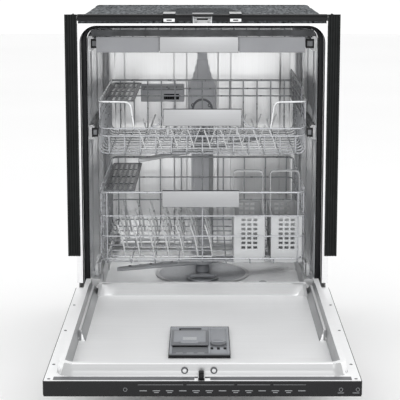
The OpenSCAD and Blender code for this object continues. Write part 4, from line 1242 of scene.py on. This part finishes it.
def cutlery_basket(node, body):
    """Pierced basket with rounded posts, a folded rim, a solid foot and a broad bail."""
    lo, hi = mm_box(node)
    b = Builder()
    top = 364.0
    x0, x1, y0, y1 = lo.x, hi.x, lo.y, hi.y
    wall = 2.2
    hole_z = [(lo.z + 34 + k * 11.5, lo.z + 40.5 + k * 11.5) for k in range(7)]

    def lattice(axis, at, u0, u1, columns, pitch, start):
        """A wall with rows of rounded holes, drawn as a grid with the holes left out and returned inwards."""
        us = [u0, *[v for i in range(columns) for v in (start + i * pitch, start + i * pitch + 10)], u1]
        zs = [lo.z, *[v for pair in hole_z for v in pair], top]
        for depth in (0, wall):
            place = at + (depth if axis > 0 else -depth)
            verts = []
            for z in zs:
                verts.append([b.bm.verts.new((place, u, z) if abs(axis) == 1 else (u, place, z)) for u in us])
            for j in range(len(zs) - 1):
                for i in range(len(us) - 1):
                    if not (i % 2 == 1 and j % 2 == 1):
                        b.bm.faces.new((verts[j][i], verts[j][i + 1], verts[j + 1][i + 1], verts[j + 1][i]))
        for i in range(columns):
            a = start + i * pitch
            for z_a, z_b in hole_z:
                outer_ring = [(a, z_a), (a + 10, z_a), (a + 10, z_b), (a, z_b)]
                rings = []
                for place in (at, at + (wall if axis > 0 else -wall)):
                    rings.append([b.bm.verts.new((place, u, z) if abs(axis) == 1 else (u, place, z)) for u,
                                  z in outer_ring])
                b._bridge(rings[0], rings[1], True)

    lattice(2, y0 + 0.6, x0 + 4, x1 - 4, 3, 14.5, x0 + 19)
    lattice(-2, y1 - 0.6, x0 + 4, x1 - 4, 3, 14.5, x0 + 19)
    columns = 10
    lattice(1, x0 + 0.6, y0 + 4, y1 - 4, columns, 17.5, y0 + 14)
    lattice(-1, x1 - 0.6, y0 + 4, y1 - 4, columns, 17.5, y0 + 14)
    for face in b.bm.faces:
        face.material_index = b._index(BASKET)
    for x in (x0 + 3.4, x1 - 3.4):
        for y in (y0 + 3.4, y1 - 3.4):
            b.lathe((x, y, lo.z), (0, 0, 1), [(3.4, 0), (3.4, top - lo.z)], BASKET, 16)
    b.box((x0 + 1, y0 + 1, lo.z), (x1 - 1, y1 - 1, lo.z + 3), BASKET, 1.2)
    rim = rounded([(x0 + 2.2, y0 + 2.2, top - 2), (x1 - 2.2, y0 + 2.2, top - 2),
                   (x1 - 2.2, y1 - 2.2, top - 2),
                   (x0 + 2.2, y1 - 2.2, top - 2)], 6, 4, True)
    b.tube(rim, 2.2, BASKET, 8, closed=True)
    mid = (y0 + y1) / 2
    b.box((x0 + 3, mid - 1.2, lo.z + 2), (x1 - 3, mid + 1.2, top - 20), BASKET, 0.8)
    outer_path = rounded([(x0 + 1.6, mid, top - 6), (x0 + 1.6, mid, hi.z - 1.6),
                          (x1 - 1.6, mid, hi.z - 1.6), (x1 - 1.6, mid, top - 6)], 12, 6)
    rows = []
    for p in outer_path:
        centre = Vector(((x0 + x1) / 2, mid, top + 20))
        inward = Vector((centre.x - p.x, 0, centre.z - p.z)).normalized() * 2.6
        rows.append([(p.x, mid - 7.8, p.z), (p.x, mid + 7.8, p.z),
                     (p.x + inward.x, mid + 7.8, p.z + inward.z),
                     (p.x + inward.x, mid - 7.8, p.z + inward.z)])
    b.grid(rows, BASKET, closed_rows=True)
    return b.finish(node + "_moulding", body, (node,))


def rollers(node, body, y):
    """A pair of rack wheels: hubs with spokes and a rounded tread."""
    b = Builder()
    for s in (-1, 1):
        b.lathe((s * 252.6, y, 232), (s, 0, 0),
                [(4.2, 0.6), (8, 0.6), (12.6, 2.2), (15.2, 0.6), (15.9, 2), (15.9, 6.8), (15.2, 8.4),
                                                 (12.4, 6.8), (8, 8.6), (4.2, 8.6), (4.2,
                                                                                     0.6)], LIGHT, 40, closed=False)
        for k in range(6):
            a = math.tau * k / 6
            b.tube([(s * 257, y + 6 * math.cos(a), 232 + 6 * math.sin(a)),
                    (s * 257, y + 14 * math.cos(a), 232 + 14 * math.sin(a))],
                   1.6, GREY, 6)
    return b.finish(node + "_wheels", body, (node,))


# ---------------------------------------------------------------- build everything

tub()
gasket()
side_trim(-1, "side_trim_left")
side_trim(1, "side_trim_right")
top_trim()
counter_brackets()
door_strike()
sound_blanket()
feed_duct()
vent_cover()
ceiling_nozzle()
filter_parts()
sump_parts()
connections()
base_parts()
door_liner()
door_details()
dispenser()
control_panel()
top_rack()
middle_rack()
lower_rack()
spray_arm("middle_arm_blades", "middle_spray", 239, 491, 14, 49.5, LIGHT, "middle_spray_arm")
spray_arm("lower_arm_blades", "lower_spray", 234, 194, 15, 22.4, ARM, "lower_spray_arm")
shelf("left_cup_shelf", "left_shelf", "cup_shelf_left", SMOKY, False)
shelf("right_cup_shelf", "right_shelf", "cup_shelf_right", SMOKY_LIGHT, True)
shelf("low_cup_shelf", "lower_shelf", "lower_cup_shelf", SMOKY, False)
cutlery_basket("cutlery_basket_left", "cutlery_left")
cutlery_basket("cutlery_basket_right", "cutlery_right")
rollers("rollers_front", "front_wheels", 77)
rollers("rollers_rear", "rear_wheels", 455)

# CAD nodes whose shape is already right keep it and take a better material.
KEPT = {
    "base_pan": ZINC, "frame_left": ZINC, "frame_right": ZINC, "junction_box": ZINC, "hinge_arms": BRIGHT_ZINC,
    "middle_rails": BRIGHT_ZINC, "middle_rail_sliders": ZINC, "top_rails": BRIGHT_ZINC, "top_rail_sliders": ZINC,
    "door_outer_panel": OUTER, "door_insulation": FELT,
}
for name, material in KEPT.items():
    slots = nodes[name].data.materials
    slots.clear()
    slots.append(material)

# ---------------------------------------------------------------- floor, light, camera


def studio_floor():
    shader = Shader("studio_floor", (0.90, 0.90, 0.90), 0.7)
    shader.tint(shader.noise(0.8, 2.0), 0.99, 1.01)
    shader.gloss(shader.noise(30.0), 0.65, 0.75)
    b = Builder()
    b.grid([[(x, y, -0.5) for x in spaced(-9000, 9000, 7)] for y in spaced(-7000, 11000, 7)], shader.material)
    bmesh.ops.recalc_face_normals(b.bm, faces=b.bm.faces)
    mesh = bpy.data.meshes.new("studio_floor")
    b.bm.transform(Matrix.Scale(MM, 4))
    b.bm.to_mesh(mesh)
    b.bm.free()
    floor = bpy.data.objects.new("studio_floor", mesh)
    floor.data.materials.append(shader.material)
    bpy.context.scene.collection.objects.link(floor)


def area_light(name, place, target, size, watts):
    data = bpy.data.lights.new(name, "AREA")
    data.shape = "RECTANGLE"
    data.size, data.size_y = size
    data.energy = watts
    light = bpy.data.objects.new(name, data)
    light.location = place
    light.rotation_euler = (Vector(target) - Vector(place)).to_track_quat("-Z", "Y").to_euler()
    bpy.context.scene.collection.objects.link(light)


def lights():
    world = bpy.data.worlds.new("studio")
    bpy.context.scene.world = world
    world.use_nodes = True
    background = world.node_tree.nodes["Background"]
    background.inputs["Color"].default_value = (1.0, 1.0, 1.0, 1)
    background.inputs["Strength"].default_value = 1.06
    area_light("key", (-1.2, -2.2, 3.2), (0, 0, 0.5), (2.4, 1.6), 14)
    area_light("front", (0.4, -3.4, 1.5), (0, 0.3, 0.5), (2.2, 1.4), 15)
    area_light("top", (0.6, 0.3, 3.4), (0, 0, 0.4), (2.4, 2.4), 10)


def camera():
    """The photograph's low telephoto view, pitched down a little with a small vertical shift."""
    data = bpy.data.cameras.new("camera")
    data.sensor_width = 36
    data.lens = 119.5
    data.shift_x = -0.006
    data.shift_y = -0.1
    made = bpy.data.objects.new("camera", data)
    made.location = row(0, -3082, 1040.8)
    made.rotation_euler = (math.radians(90 - 9.665), 0, 0)
    bpy.context.scene.collection.objects.link(made)
    bpy.context.scene.camera = made


studio_floor()
lights()
camera()
bpy.context.scene.view_settings.view_transform = "Standard"
